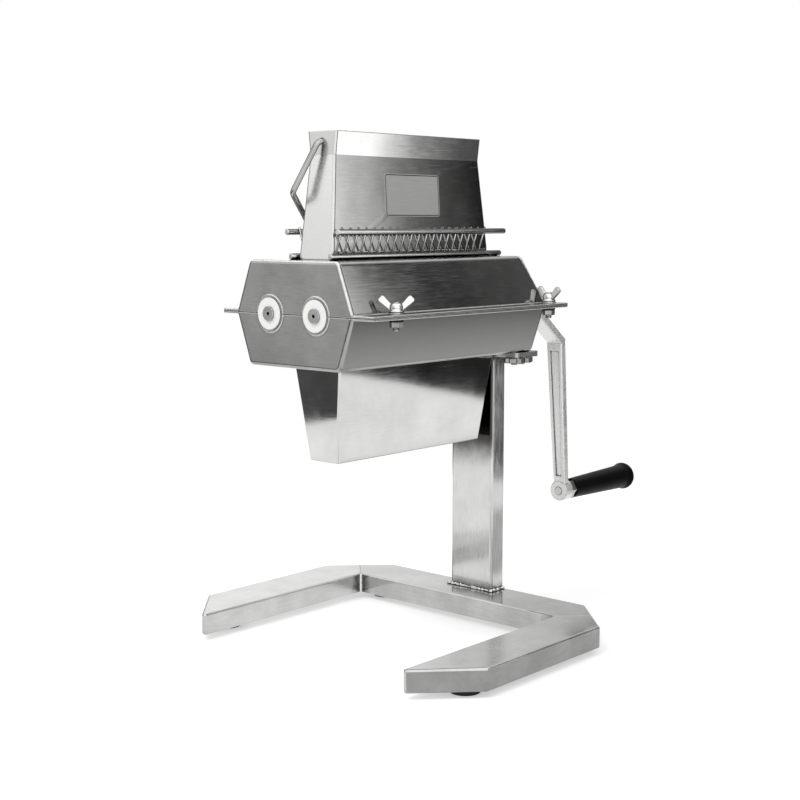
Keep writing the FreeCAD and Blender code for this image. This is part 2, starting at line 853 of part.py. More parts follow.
def spacers(y, first):
    """The sleeves that keep the blades apart on the hexagon."""
    places = blade_places(first)
    edges = [x + side * blade_thickness / 2 for x in places for side in (-1, 1)]
    start = shaft_body_start + circlip_play + circlip_width
    bounds = [start] + edges + [shaft_shoulder_x]
    bore = hexagon(hex_flats + 2 * fixed_fit, 0, y, seam, head_length, True)
    return Part.makeCompound([bar_x(x0, x1, y, seam, spacer_radius).cut(bore)
                              for x0, x1 in zip(bounds[::2], bounds[1::2])])


def roller_circlip(y):
    """A spring ring that closes a blade stack at its left end."""
    x0 = shaft_body_start + circlip_play
    return ring_x(x0, x0 + circlip_width, y, seam, circlip_radius, circlip_groove_radius)


def involute(angle):
    """The involute function."""
    return math.tan(angle) - angle


def gear(y, phase):
    """A spur gear on its key; phase turns its first tooth from the +Y direction."""
    base = gear_pitch_radius * math.cos(pressure_angle)
    tip = gear_pitch_radius + gear_module
    root = gear_pitch_radius - gear_root_share * gear_module
    pitch = 2 * math.pi / gear_teeth
    half_at_pitch = pitch / 4 - gear_backlash / 2 / gear_pitch_radius
    half_at_base = half_at_pitch + involute(pressure_angle)

    def point(radius, angle):
        return Vector(gear_x0, y + radius * math.cos(angle), seam + radius * math.sin(angle))

    def flank(radius, middle, side):
        return point(radius, middle + side * (half_at_base - involute(math.acos(base / radius))))

    mean = (base + tip) / 2
    edges = []
    for tooth in range(gear_teeth):
        middle = phase + tooth * pitch
        foot_low = point(root, middle - half_at_base)
        foot_high = point(root, middle + half_at_base)
        next_foot = point(root, middle + pitch - half_at_base)
        low, low_mean, low_tip = [flank(radius, middle, -1) for radius in (base, mean, tip)]
        high, high_mean, high_tip = [flank(radius, middle, 1) for radius in (base, mean, tip)]
        edges.append(Part.makeLine(foot_low, low))
        edges.append(Part.Arc(low, low_mean, low_tip).toShape())
        edges.append(Part.Arc(low_tip, point(tip, middle), high_tip).toShape())
        edges.append(Part.Arc(high_tip, high_mean, high).toShape())
        edges.append(Part.makeLine(high, foot_high))
        edges.append(Part.Arc(foot_high, point(root, middle + pitch / 2), next_foot).toShape())
    body = Part.Face(Part.Wire(edges)).extrude(Vector(gear_width, 0, 0))
    bore = bar_x(gear_x0 - overcut, gear_x0 + gear_width + overcut, y, seam, right_journal_radius + fixed_fit)
    keyway = key_block(y, fixed_fit)
    keyway_run = keyway.copy()
    keyway_run.translate(Vector(-gear_width / 2, 0, 0))
    return body.cut([bore, keyway, keyway_run])


# ---------------------------------------------------------------- crank
def offset_line(points, distance):
    """The XZ points of a bent line moved sideways, with mitred corners."""
    normals = []
    for start, end in zip(points, points[1:]):
        run = math.hypot(end[0] - start[0], end[1] - start[1])
        normals.append(((end[1] - start[1]) / run, (start[0] - end[0]) / run))
    moved = []
    for step, (x, z) in enumerate(points):
        before = normals[max(step - 1, 0)]
        after = normals[min(step, len(normals) - 1)]
        share = distance / (1 + before[0] * after[0] + before[1] * after[1])
        moved.append((x + (before[0] + after[0]) * share, z + (before[1] + after[1]) * share))
    return moved


def arm_band(points, near, far, half_width):
    """A flat bar that follows a bent line in XZ, between two offsets of the line."""
    outline = offset_line(points, near) + offset_line(points, far)[::-1]
    start = front_y - half_width
    return prism([Vector(x, start, z) for x, z in outline], Vector(0, 2 * half_width, 0))


def arm_taper(rib, top_z, low_z):
    """The arm's tapering outline seen along X, drawn in by rib, between two heights."""
    def half_at(z):
        share = (seam - z) / (seam - boss_z)
        return (arm_root_width + share * (arm_foot_width - arm_root_width)) / 2 - rib

    sides = [Vector(0, front_y + half_at(z), z) for z in (top_z, low_z)]
    mirrored = [Vector(0, front_y - half_at(z), z) for z in (low_z, top_z)]
    return prism(sides + mirrored, Vector(2 * head_length, 0, 0))


def crank_arm():
    """The cast crank: a hub, a dog-leg arm with a hollowed face, and the grip's boss."""
    line = [(hub_end - arm_root_inset, seam - arm_root_drop), (arm_bend_x, seam - arm_bend_drop), (arm_foot_x, boss_z)]
    half = arm_thickness / 2
    arm = arm_band(line, -half, half, hub_radius).common(arm_taper(0, seam + hub_radius, boss_z))
    arm = arm.makeFillet(arm_edge_radius, [e for e in arm.Edges if e.Length > arm_root_width + overcut])
    slope = (arm_foot_x - arm_bend_x) / (seam - arm_bend_drop - boss_z)
    top_z = seam - arm_bend_drop - arm_recess_inset
    low_z = boss_z + boss_radius + arm_recess_inset / 2
    face_line = [(arm_foot_x - slope * (top_z - boss_z), top_z), (arm_foot_x - slope * (low_z - boss_z), low_z)]
    window = arm_taper(arm_rib, top_z, low_z)
    hollows = []
    for side in (-1, 1):
        near, far = sorted((side * (half - arm_recess), side * (half + overcut)))
        hollows.append(arm_band(face_line, near, far, hub_radius).common(window))
    arm = arm.cut(hollows)
    hub = bar_x(hub_start, hub_end, front_y, seam, hub_radius)
    hub = hub.makeFillet(arm_edge_radius, [e for e in hub.Edges if e.BoundBox.XLength < tolerance])
    boss = bar_x(boss_start, boss_end, front_y, boss_z, boss_radius)
    boss = boss.makeFillet(arm_edge_radius / 2, [e for e in boss.Edges if e.BoundBox.XLength < tolerance])
    crank = join([hub, arm, boss])
    square = drive_square / 2 + fixed_fit
    drive = box(hub_start - overcut, hub_start + drive_length + fixed_fit, front_y - square, front_y + square,
                seam - square, seam + square)
    drive = drive.common(bar_x(hub_start - overcut, hub_end, front_y, seam, right_journal_radius + fixed_fit))
    screw_hole = bar_x(hub_start, hub_end + overcut, front_y, seam, crank_screw_radius + bolt_hole_gap)
    spindle_hole = bar_x(boss_start - overcut, boss_end + overcut, front_y, boss_z,
                         spindle_shank_radius + fixed_fit)
    seat_end = hub_end + crank_washer_height + crank_screw_head_height + overcut
    seat = bar_x(hub_end, seat_end, front_y, seam, crank_washer_radius + crank_washer_gap)
    return crank.cut([drive, screw_hole, seat, spindle_hole])


def crank_washer():
    """The washer that holds the crank on its square."""
    return ring_x(hub_end, hub_end + crank_washer_height, front_y, seam, crank_washer_radius,
                  crank_screw_radius + bolt_hole_gap)


def crank_screw():
    """The socket screw in the end of the driven shaft."""
    head_x = hub_end + crank_washer_height
    head = bar_x(head_x, head_x + crank_screw_head_height, front_y, seam, crank_screw_head_radius)
    shank = bar_x(hub_end - crank_screw_depth + overcut, head_x, front_y, seam, crank_screw_radius)
    socket = hexagon(crank_screw_socket, head_x + crank_screw_head_height / 2, front_y, seam,
                     crank_screw_head_height, True)
    return join([head, shank]).cut(socket)


def grip_spindle():
    """The spindle that the grip turns on, riveted through the boss, with a hexagon collar."""
    shank = bar_x(boss_start - spindle_stand, boss_end, front_y, boss_z, spindle_shank_radius)
    collar = hexagon(collar_flats, boss_end, front_y, boss_z, spindle_collar, True)
    axle = bar_x(boss_end + spindle_collar, spindle_end, front_y, boss_z, spindle_radius)
    hole = bar_x(spindle_end - grip_screw_depth, spindle_end + overcut, front_y, boss_z,
                 grip_screw_radius + fixed_fit)
    return join([shank, collar, axle]).cut(hole)


def revolved_x(profile, y, z):
    """A solid of revolution about a line along X, from (x, radius) points and arcs."""
    face = Part.Face(Part.Wire(profile))
    solid = face.revolve(Vector(0, 0, 0), Vector(1, 0, 0), 360)
    solid.translate(Vector(0, y, z))
    return solid


def grip():
    """The black grip: a taper that flares into an end rim, bored for the spindle."""
    def at(x, radius):
        return Vector(x, 0, radius)

    nose = grip_nose_round
    nose_mean = nose * (1 - math.sqrt(0.5))
    rim_round = (grip_end - grip_rim_x) / 2
    rim_low = grip_rim_radius - grip_rim_step
    rim_shoulder = grip_rim_radius - rim_round / 2
    flare_x = (grip_flare_x + grip_rim_x) / 2 + grip_flare_sag[0]
    flare_radius = (grip_far_radius + grip_rim_radius) / 2 - grip_flare_sag[1]
    outline = [
        Part.makeLine(at(grip_start, 0), at(grip_start, grip_near_radius - nose)),
        Part.Arc(at(grip_start, grip_near_radius - nose),
                 at(grip_start + nose_mean, grip_near_radius - nose_mean),
                 at(grip_start + nose, grip_near_radius)).toShape(),
        Part.makeLine(at(grip_start + nose, grip_near_radius), at(grip_flare_x, grip_far_radius)),
        Part.Arc(at(grip_flare_x, grip_far_radius), at(flare_x, flare_radius),
                 at(grip_rim_x, rim_low)).toShape(),
        Part.Arc(at(grip_rim_x, rim_low), at((grip_rim_x + grip_end) / 2, grip_rim_radius),
                 at(grip_end, rim_shoulder)).toShape(),
        Part.makeLine(at(grip_end, rim_shoulder), at(grip_end, 0)),
        Part.makeLine(at(grip_end, 0), at(grip_start, 0)),
    ]
    body = revolved_x(outline, front_y, boss_z)
    bore = bar_x(grip_start - overcut, grip_end, front_y, boss_z, spindle_radius + running_fit)
    pocket = bar_x(spindle_end - grip_end_play, grip_end + overcut, front_y, boss_z, grip_pocket_radius)
    return body.cut([bore, pocket])


def grip_washer():
    """The washer that keeps the grip on its spindle."""
    return ring_x(spindle_end, spindle_end + grip_washer_height, front_y, boss_z, grip_washer_radius,
                  grip_screw_radius + fixed_fit)


def grip_screw():
    """The screw in the end of the spindle."""
    head_x = spindle_end + grip_washer_height
    head = bar_x(head_x, head_x + grip_screw_head_height, front_y, boss_z, grip_screw_head_radius)
    shank = bar_x(spindle_end - grip_screw_depth + overcut, head_x, front_y, boss_z, grip_screw_radius)
    return join([head, shank])


def grip_cap():
    """The domed plug that closes the end of the grip."""
    plug_radius = grip_pocket_radius - fixed_fit
    crown = Vector(grip_end + cap_rise, 0, cap_flat_radius)
    shoulder = Vector(grip_end, 0, plug_radius)
    mean = Vector(grip_end + cap_mean_share * cap_rise, 0, plug_radius / 2)
    inner = Vector(grip_end - cap_depth, 0, plug_radius)
    dome = [
        Part.makeLine(Vector(inner.x, 0, 0), inner),
        Part.makeLine(inner, shoulder),
        Part.Arc(shoulder, mean, crown).toShape(),
        Part.makeLine(crown, Vector(crown.x, 0, 0)),
        Part.makeLine(Vector(crown.x, 0, 0), Vector(inner.x, 0, 0)),
    ]
    return revolved_x(dome, front_y, boss_z)


# ---------------------------------------------------------------- hood
def hood_levels():
    """The hood's outer rectangles at its foot, neck and rim."""
    foot = (hood_foot_x0, hood_foot_x1, hood_foot_half, head_top)
    neck = (hood_neck_x0, hood_neck_x1, hood_neck_half, hood_neck)
    rim = (hood_neck_x0, hood_neck_x1, hood_rim_half, hood_top)
    return foot, neck, rim


def hood_shell():
    """The folded feed hood, open above and below, standing on its two end panels."""
    foot, neck, rim = hood_levels()
    outer = join([tapered_block(foot, neck, hood_fold), tapered_block(neck, rim, hood_fold)])
    inner_foot = inner_section(foot, neck, head_top - overcut, hood_sheet)
    inner_neck = inner_section(foot, neck, hood_neck, hood_sheet)
    inner_rim = inner_section(neck, rim, hood_top + overcut, hood_sheet)
    fold = hood_fold - hood_sheet
    shell = outer.cut(join([tapered_block(inner_foot, inner_neck, fold), tapered_block(inner_neck, inner_rim, fold)]))
    x0 = inner_foot[0] + opening_inset
    x1 = inner_foot[1] - opening_inset
    shell = shell.cut(box(x0, x1, -2 * hood_foot_half, 2 * hood_foot_half, head_top - overcut, hood_skirt))
    pivots = bar_x(0, head_length, 0, bail_pivot_z, bail_radius + running_fit)
    return shell.cut(pivots)


def hood_slope():
    """How far the hood's front panel leans back from upright, in degrees."""
    return math.degrees(math.atan2(hood_foot_half - hood_neck_half, hood_skirt_height))


def hood_blank_plate():
    """A thin plain plate with rounded corners, bonded to the hood's front panel."""
    middle_x = (hood_foot_x0 + hood_foot_x1) / 2
    half_x = plate_x_length / 2
    half_z = plate_z_length / 2
    plate = box(-half_x, half_x, -name_plate_sheet, 0, -half_z, half_z)
    corners = [e for e in plate.Edges if e.BoundBox.XLength + e.BoundBox.ZLength < tolerance]
    plate = plate.makeFillet(name_plate_radius, corners)
    plate.rotate(Vector(0, 0, 0), Vector(1, 0, 0), -hood_slope())
    foot, neck, _ = hood_levels()
    z = head_top + plate_rise
    plate.translate(Vector(middle_x, -section_at(foot, neck, z)[2], z))
    return plate


def bail_rest():
    """The bail's crossbar: its Y and its drop below the pivot, lying on the rear comb."""
    comb_top = upper_rod_z + comb_rod_radius + 2 * wire_radius
    drop = bail_pivot_z - (comb_top + bail_gap + bail_radius)
    return math.sqrt(bail_arm_length ** 2 - drop ** 2), drop


def hood_bail():
    """The bent rod handle, hinged in both end panels and folded down behind the hood."""
    side, drop = bail_rest()
    lean = Vector(0, side, -drop) / bail_arm_length
    middle = (hood_neck_x0 + hood_neck_x1) / 2
    half = (hood_neck_x1 - hood_neck_x0) / 2
    half_points = [
        (half - hood_sheet - bail_inner_end, 0.0),
        (half + bail_stand, 0.0),
        (half + bail_splay, bail_arm_straight),
        (half + bail_splay - bail_chamfer, bail_arm_length),
    ]
    left = [Vector(middle - x, 0, bail_pivot_z) + lean * run for x, run in half_points]
    right = [Vector(middle + x, 0, bail_pivot_z) + lean * run for x, run in reversed(half_points)]
    return round_wire(smooth_path(left + right, bail_bend_radius), bail_radius)


def bail_washers():
    """The washers pressed on the bail's ends inside the hood."""
    rings = []
    inner_left = hood_neck_x0 + hood_sheet
    inner_right = hood_neck_x1 - hood_sheet
    for x in (inner_left + bail_gap, inner_right - bail_gap - bail_pin_washer_height):
        rings.append(ring_x(x, x + bail_pin_washer_height, 0, bail_pivot_z, bail_pin_washer_radius, bail_radius))
    return Part.makeCompound(rings)


# ---------------------------------------------------------------- stripper combs
def comb_rods(side):
    """The upper and lower cross rods of one comb."""
    upper = bar_x(upper_rod_start, upper_rod_end, side * upper_rod_y, upper_rod_z, comb_rod_radius)
    lower = bar_x(lower_rod_start, lower_rod_end, side * lower_rod_y, lower_rod_z, comb_rod_radius)
    rods = []
    for rod in (upper, lower):
        rods.append(rod.makeChamfer(comb_rod_chamfer, [e for e in rod.Edges if e.BoundBox.XLength < tolerance]))
    return Part.makeCompound(rods)


def comb_wire():
    """One wire of the front comb at X = 0: behind both rods, then bent down into the nip."""
    reach = comb_rod_radius + wire_radius - wire_weld
    upper = Vector(0, -upper_rod_y, upper_rod_z)
    lower = Vector(0, -lower_rod_y, lower_rod_z)
    run = (lower - upper).normalize()
    inward = Vector(0, -run.z, run.y)
    start = upper + inward * reach - run * wire_tip_rise
    touch = lower + inward * reach
    nip = Vector(0, -wire_nip_y, seam + wire_bend_rise)
    tip = Vector(0, -wire_nip_y, seam - wire_drop)
    return round_wire(smooth_path([start, touch, nip, tip], 4 * comb_rod_radius), wire_radius)


def comb_wires(side, first):
    """The row of wires of one comb, between the blades of its roller."""
    model = comb_wire()
    if side > 0:
        model = model.mirror(Vector(0, 0, 0), Vector(0, 1, 0))
    row = []
    for step in range(blade_count):
        wire = model.copy()
        wire.translate(Vector(first + step * blade_pitch, 0, 0))
        row.append(wire)
    return Part.makeCompound(row)


# ---------------------------------------------------------------- all the parts
def all_parts():
    """Every sub-part by its name."""
    rear_offset = blade_pitch / 2
    first_rear_blade = first_blade_x - rear_offset
    first_rear_wire = first_wire_x + rear_offset
    parts = base_bars()
    parts["rubber_feet"] = rubber_feet()
    parts["foot_screws"] = foot_screws()
    parts["column"] = column()
    parts["column_weld"] = column_weld()
    parts["head_mount_plate"] = head_mount_plate()
    parts["mount_nuts"] = mount_nuts()
    parts["lower_housing"] = lower_housing()
    parts["upper_housing"] = upper_housing()
    parts["discharge_chute"] = discharge_chute()
    parts["flange_bolts"] = flange_bolts()
    parts["lower_washers"] = lower_washers()
    parts["lower_nuts"] = lower_nuts()
    parts["upper_washers"] = upper_washers()
    for corner in bolt_places:
        parts["wing_nut_" + corner] = wing_nut(corner)
    for name, y in (("front", front_y), ("rear", rear_y)):
        parts[name + "_left_bush"] = bush(y, True)
        parts[name + "_right_bush"] = bush(y, False)
        parts[name + "_circlip"] = roller_circlip(y)
        parts[name + "_gear_key"] = key_block(y, 0)
    parts["front_shaft"] = front_shaft()
    parts["rear_shaft"] = rear_shaft()
    parts["front_blades"] = blades(front_y, first_blade_x)
    parts["rear_blades"] = blades(rear_y, first_rear_blade)
    parts["front_spacers"] = spacers(front_y, first_blade_x)
    parts["rear_spacers"] = spacers(rear_y, first_rear_blade)
    parts["front_gear"] = gear(front_y, 0.0)
    parts["rear_gear"] = gear(rear_y, math.pi / gear_teeth)
    parts["crank_arm"] = crank_arm()
    parts["crank_washer"] = crank_washer()
    parts["crank_screw"] = crank_screw()
    parts["grip_spindle"] = grip_spindle()
    parts["grip"] = grip()
    parts["grip_washer"] = grip_washer()
    parts["grip_screw"] = grip_screw()
    parts["grip_cap"] = grip_cap()
    parts["hood_shell"] = hood_shell()
    parts["hood_blank_plate"] = hood_blank_plate()
    parts["hood_bail"] = hood_bail()
    parts["bail_washers"] = bail_washers()
    parts["front_comb_rods"] = comb_rods(-1)
    parts["rear_comb_rods"] = comb_rods(1)
    parts["front_comb_wires"] = comb_wires(-1, first_wire_x)
    parts["rear_comb_wires"] = comb_wires(1, first_rear_wire)
    return parts


os.makedirs("parts", exist_ok=True)
for node, shape in all_parts().items():
    shape.translate(Vector(-origin_x, 0, 0))
    shape.exportStep("parts/" + node + ".step")
    print(node, len(shape.Solids), shape.isValid(), round(shape.Volume, 1))
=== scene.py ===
"""Looks of a hand-cranked meat tenderizer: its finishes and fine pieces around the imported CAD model."""

import math
import random

import bmesh
import bpy
from mathutils import Matrix, Vector


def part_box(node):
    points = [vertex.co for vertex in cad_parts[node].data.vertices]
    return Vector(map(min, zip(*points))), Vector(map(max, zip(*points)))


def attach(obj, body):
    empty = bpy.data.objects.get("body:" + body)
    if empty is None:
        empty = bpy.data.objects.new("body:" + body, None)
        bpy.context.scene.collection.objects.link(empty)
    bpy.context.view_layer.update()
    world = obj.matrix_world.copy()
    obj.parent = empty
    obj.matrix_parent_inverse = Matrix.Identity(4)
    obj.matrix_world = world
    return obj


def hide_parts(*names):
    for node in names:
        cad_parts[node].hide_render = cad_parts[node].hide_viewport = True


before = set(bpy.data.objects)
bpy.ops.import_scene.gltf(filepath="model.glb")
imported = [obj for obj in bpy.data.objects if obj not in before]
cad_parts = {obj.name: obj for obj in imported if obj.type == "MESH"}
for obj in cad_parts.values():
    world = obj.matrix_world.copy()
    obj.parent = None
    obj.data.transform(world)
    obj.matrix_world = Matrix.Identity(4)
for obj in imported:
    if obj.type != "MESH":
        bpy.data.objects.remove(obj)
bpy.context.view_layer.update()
mm = 0.001


def linear(code):
    """An sRGB hex colour as linear red, green, blue and alpha."""
    parts = [int(code[i:i + 2], 16) / 255 for i in (1, 3, 5)]
    return tuple(c / 12.92 if c <= 0.04045 else ((c + 0.055) / 1.055) ** 2.4 for c in parts) + (1.0,)


def fill(node, inputs):
    """Sets or links a node's inputs; a node given as a value stands for its first output."""
    for key, value in inputs.items():
        if isinstance(value, bpy.types.Node):
            value = value.outputs[0]
        if isinstance(value, bpy.types.NodeSocket):
            node.id_data.links.new(value, node.inputs[key])
        else:
            node.inputs[key].default_value = value


def add_node(tree, kind, inputs=None, **settings):
    """Adds a node with its settings, its input values and its links."""
    made = tree.nodes.new(kind)
    for key, value in settings.items():
        setattr(made, key, value)
    fill(made, inputs or {})
    return made


def calc(tree, operation, *values, **settings):
    """Works out one number from others."""
    return add_node(tree, "ShaderNodeMath", dict(enumerate(values)), operation=operation, **settings)


def vector_calc(tree, operation, *values):
    """Works out one vector from others, or its length or dot product, which are numbers."""
    made = add_node(tree, "ShaderNodeVectorMath", dict(enumerate(values)), operation=operation)
    return made.outputs["Value" if operation in ("LENGTH", "DOT_PRODUCT") else "Vector"]


def remap(tree, value, low, high, first=0.0, last=1.0, shape="LINEAR"):
    """Runs from first to last while a value runs from low to high, and stays there beyond."""
    return add_node(tree, "ShaderNodeMapRange", {0: value, 1: low, 2: high, 3: first, 4: last},
                    interpolation_type=shape)


def blend(tree, share, under, over):
    """Mixes two colours, each a hex code, four numbers or a socket."""
    under, over = (linear(part) if isinstance(part, str) else part for part in (under, over))
    return add_node(tree, "ShaderNodeMixRGB", {0: share, 1: under, 2: over})


def noise(tree, where, lump, detail=2.0, roughness=0.5):
    """Uneven noise with lumps of about a size in mm."""
    return add_node(tree, "ShaderNodeTexNoise", {"Vector": where, "Scale": 1 / (lump * mm),
                                                 "Detail": detail, "Roughness": roughness})


# Nearly all of a noise's values lie in here.
noise_span = (0.3, 0.7)


def opened(material):
    """A material's node tree and its shader."""
    return material.node_tree, material.node_tree.nodes["Principled BSDF"]


def new_material(name, constants):
    """A material with its node tree and its shader, which starts with these constants."""
    material = bpy.data.materials.new(name)
    material.use_nodes = True
    tree, shader = opened(material)
    fill(shader, constants)
    return material, tree, shader


def feeding(shader, socket):
    """What feeds one of a shader's inputs so far."""
    return shader.inputs[socket].links[0].from_socket


# ---------------------------------------------------------------- studio
# A long lens at table height, ahead and to the left of the machine. A white table of about 1.7 m
# carries it in a white tent; past the table's edge, metal mirrors the dim room and a bright left wall.
camera = bpy.data.cameras.new("camera")
camera.sensor_width = 36.0
camera.lens = 64.37
camera.clip_end = 60.0
eye = bpy.data.objects.new("camera", camera)
eye.location = (-1.05937, -0.85504, 0.38077)
eye.rotation_euler = Vector((0.74108, 0.65975, -0.12463)).to_track_quat("-Z", "Y").to_euler()
bpy.context.scene.collection.objects.link(eye)
bpy.context.scene.camera = eye
bpy.context.scene.view_settings.view_transform = "Standard"


def set_greys(ramp, stops):
    """Gives a colour ramp its grey stops, as (place, grey)."""
    points = ramp.color_ramp.elements
    points.remove(points[-1])
    points[0].position, points[0].color = stops[0][0], (stops[0][1],) * 3 + (1.0,)
    for place, grey in stops[1:]:
        points.new(place).color = (grey,) * 3 + (1.0,)


world = bpy.data.worlds.new("studio")
world.use_nodes = True
bpy.context.scene.world = world
sky = world.node_tree
sky.nodes.clear()
looking = add_node(sky, "ShaderNodeTexCoord")
rise = add_node(sky, "ShaderNodeSeparateXYZ", {0: looking.outputs["Generated"]})
bearing = calc(sky, "ARCTAN2", rise.outputs["Y"], rise.outputs["X"])
turn = remap(sky, bearing, -math.pi, math.pi)
# What metal mirrors well below, below, above and well above eye level: (bearing from +X, grey).
room_levels = (
    ((-180, 0.05), (-150, 0.30), (-120, 0.70), (-75, 0.60), (-60, 0.03), (-46, 0.01), (-18, 0.02),
     (0, 0.30), (15, 0.70), (50, 0.70), (62, 0.10), (108, 0.08), (128, 0.05), (180, 0.05)),
    ((-180, 0.45), (-160, 1.00), (-85, 1.00), (-74, 0.08), (-53, 0.06), (-47, 1.20), (-41.4, 1.20),
     (-40.6, 0.06), (-38.4, 0.13), (-37.8, 0.05), (-18, 0.04), (0, 0.30), (15, 0.75), (50, 0.80),
     (62, 0.10), (108, 0.08), (124, 0.36), (136, 0.43), (142, 0.52), (160, 0.50), (180, 0.45)),
    ((-180, 0.45), (-160, 1.00), (-85, 1.00), (-74, 0.08), (-53, 0.06), (-47, 0.70), (-44.5, 0.95),
     (-43.8, 0.78), (-43.2, 0.06), (-42.5, 0.10), (-41.9, 0.66), (-41.3, 0.30), (-40.7, 0.08),
     (-39.5, 0.05), (-38.5, 0.01), (-18, 0.01), (0, 0.30), (15, 0.55), (33, 0.43), (37, 0.54), (42, 0.76),
     (50, 0.84), (62, 0.10), (108, 0.08), (124, 0.44), (134, 0.54), (160, 0.50), (180, 0.45)),
    ((-180, 0.50), (-160, 1.00), (-85, 1.00), (-74, 0.10), (-53, 0.10), (-47, 0.60), (-38.2, 1.00),
     (-37.1, 0.90), (-36.4, 0.04), (-35.3, 0.02), (-34, 0.035), (-32.4, 0.055), (-30.8, 0.10), (-14, 0.10),
     (2, 0.40), (15, 0.55), (33, 0.43), (37, 0.54), (42, 0.76), (50, 0.84), (62, 0.12), (108, 0.10),
     (124, 0.70), (134, 1.00), (160, 0.60), (180, 0.50)),
)
level_changes = ((-0.205, -0.180), (-0.03, 0.04), (0.14, 0.24))
layers = []
for stops in room_levels:
    ramp = add_node(sky, "ShaderNodeValToRGB", {0: turn})
    set_greys(ramp, [((degrees + 180) / 360, grey) for degrees, grey in stops])
    layers.append(ramp)
mirrored_room = layers[0]
for (start, end), layer in zip(level_changes, layers[1:]):
    share = remap(sky, rise.outputs["Z"], start, end, shape="SMOOTHSTEP")
    mirrored_room = blend(sky, share, mirrored_room, layer)
overhead = remap(sky, rise.outputs["Z"], 0.52, 0.76, shape="SMOOTHSTEP")
mirrored_room = blend(sky, overhead, mirrored_room, (0.95, 0.95, 0.95, 1))
light_path = add_node(sky, "ShaderNodeLightPath")
tent = add_node(sky, "ShaderNodeBackground", {"Color": (1, 1, 1, 1), "Strength": 0.72})
mirrored = add_node(sky, "ShaderNodeBackground", {"Color": mirrored_room, "Strength": 1.4})
white = add_node(sky, "ShaderNodeBackground", {"Color": (1, 1, 1, 1)})
lit = add_node(sky, "ShaderNodeMixShader", {0: light_path.outputs["Is Glossy Ray"], 1: tent, 2: mirrored})
shown = add_node(sky, "ShaderNodeMixShader", {0: light_path.outputs["Is Camera Ray"], 1: lit, 2: white})
add_node(sky, "ShaderNodeOutputWorld", {0: shown})

table_reach = 0.84
disc = bmesh.new()
bmesh.ops.create_circle(disc, cap_ends=True, segments=128, radius=table_reach)
table_mesh = bpy.data.meshes.new("table")
disc.to_mesh(table_mesh)
disc.free()
table = bpy.data.objects.new("table", table_mesh)
table.location = (-0.08, 0.0, -0.2 * mm)
bpy.context.scene.collection.objects.link(table)
# Matt white paper: it keeps the soft shadow, and the camera sees it as white as the tent.
paper = bpy.data.materials.new("paper_white_matt")
paper.use_nodes = True
tree = paper.node_tree
tree.nodes.clear()
light_path = add_node(tree, "ShaderNodeLightPath")
sheet = add_node(tree, "ShaderNodeBsdfDiffuse", {"Color": (0.8, 0.8, 0.8, 1)})
glow = add_node(tree, "ShaderNodeEmission", {"Color": (1, 1, 1, 1), "Strength": 0.45})
seen = add_node(tree, "ShaderNodeAddShader", {0: sheet, 1: glow})
# A grey felt lies on it along the front, where only the front arm and the head's lower flank mirror it.
spot = add_node(tree, "ShaderNodeTexCoord").outputs["Object"]
felt_middle, felt_half = (0.25, -0.235, 0.0), (0.60, 0.095, 1.0)
to_felt = vector_calc(tree, "SUBTRACT", spot, felt_middle)
sized = vector_calc(tree, "ABSOLUTE", to_felt)
past_felt = vector_calc(tree, "SUBTRACT", sized, felt_half)
off_felt = vector_calc(tree, "MAXIMUM", past_felt, (0, 0, 0))
from_felt = vector_calc(tree, "LENGTH", off_felt)
bare = remap(tree, from_felt, 0.0, 0.03, shape="SMOOTHSTEP")
laid = blend(tree, bare, (0.5, 0.5, 0.5, 1), (1.05, 1.05, 1.05, 1))
in_metal = add_node(tree, "ShaderNodeEmission", {"Color": laid})
evened = add_node(tree, "ShaderNodeMixShader", {0: 0.85, 1: sheet, 2: in_metal})
by_glossy = add_node(tree, "ShaderNodeMixShader", {0: light_path.outputs["Is Glossy Ray"], 1: sheet,
                                                   2: evened})
by_camera = add_node(tree, "ShaderNodeMixShader", {0: light_path.outputs["Is Camera Ray"], 1: by_glossy,
                                                   2: seen})
add_node(tree, "ShaderNodeOutputMaterial", {0: by_camera})
table_mesh.materials.append(paper)

# A soft box high on the left, which metal doesn't mirror.
lamp_data = bpy.data.lights.new("soft_box", "AREA")
lamp_data.shape = "RECTANGLE"
lamp_data.size = 1.2
lamp_data.size_y = 0.9
lamp_data.energy = 14.0
lamp = bpy.data.objects.new("soft_box", lamp_data)
lamp.location = (-1.1, 0.2, 1.7)
lamp.rotation_euler = (Vector((0, 0, 0.25)) - lamp.location).to_track_quat("-Z", "Y").to_euler()
lamp.visible_glossy = False
bpy.context.scene.collection.objects.link(lamp)


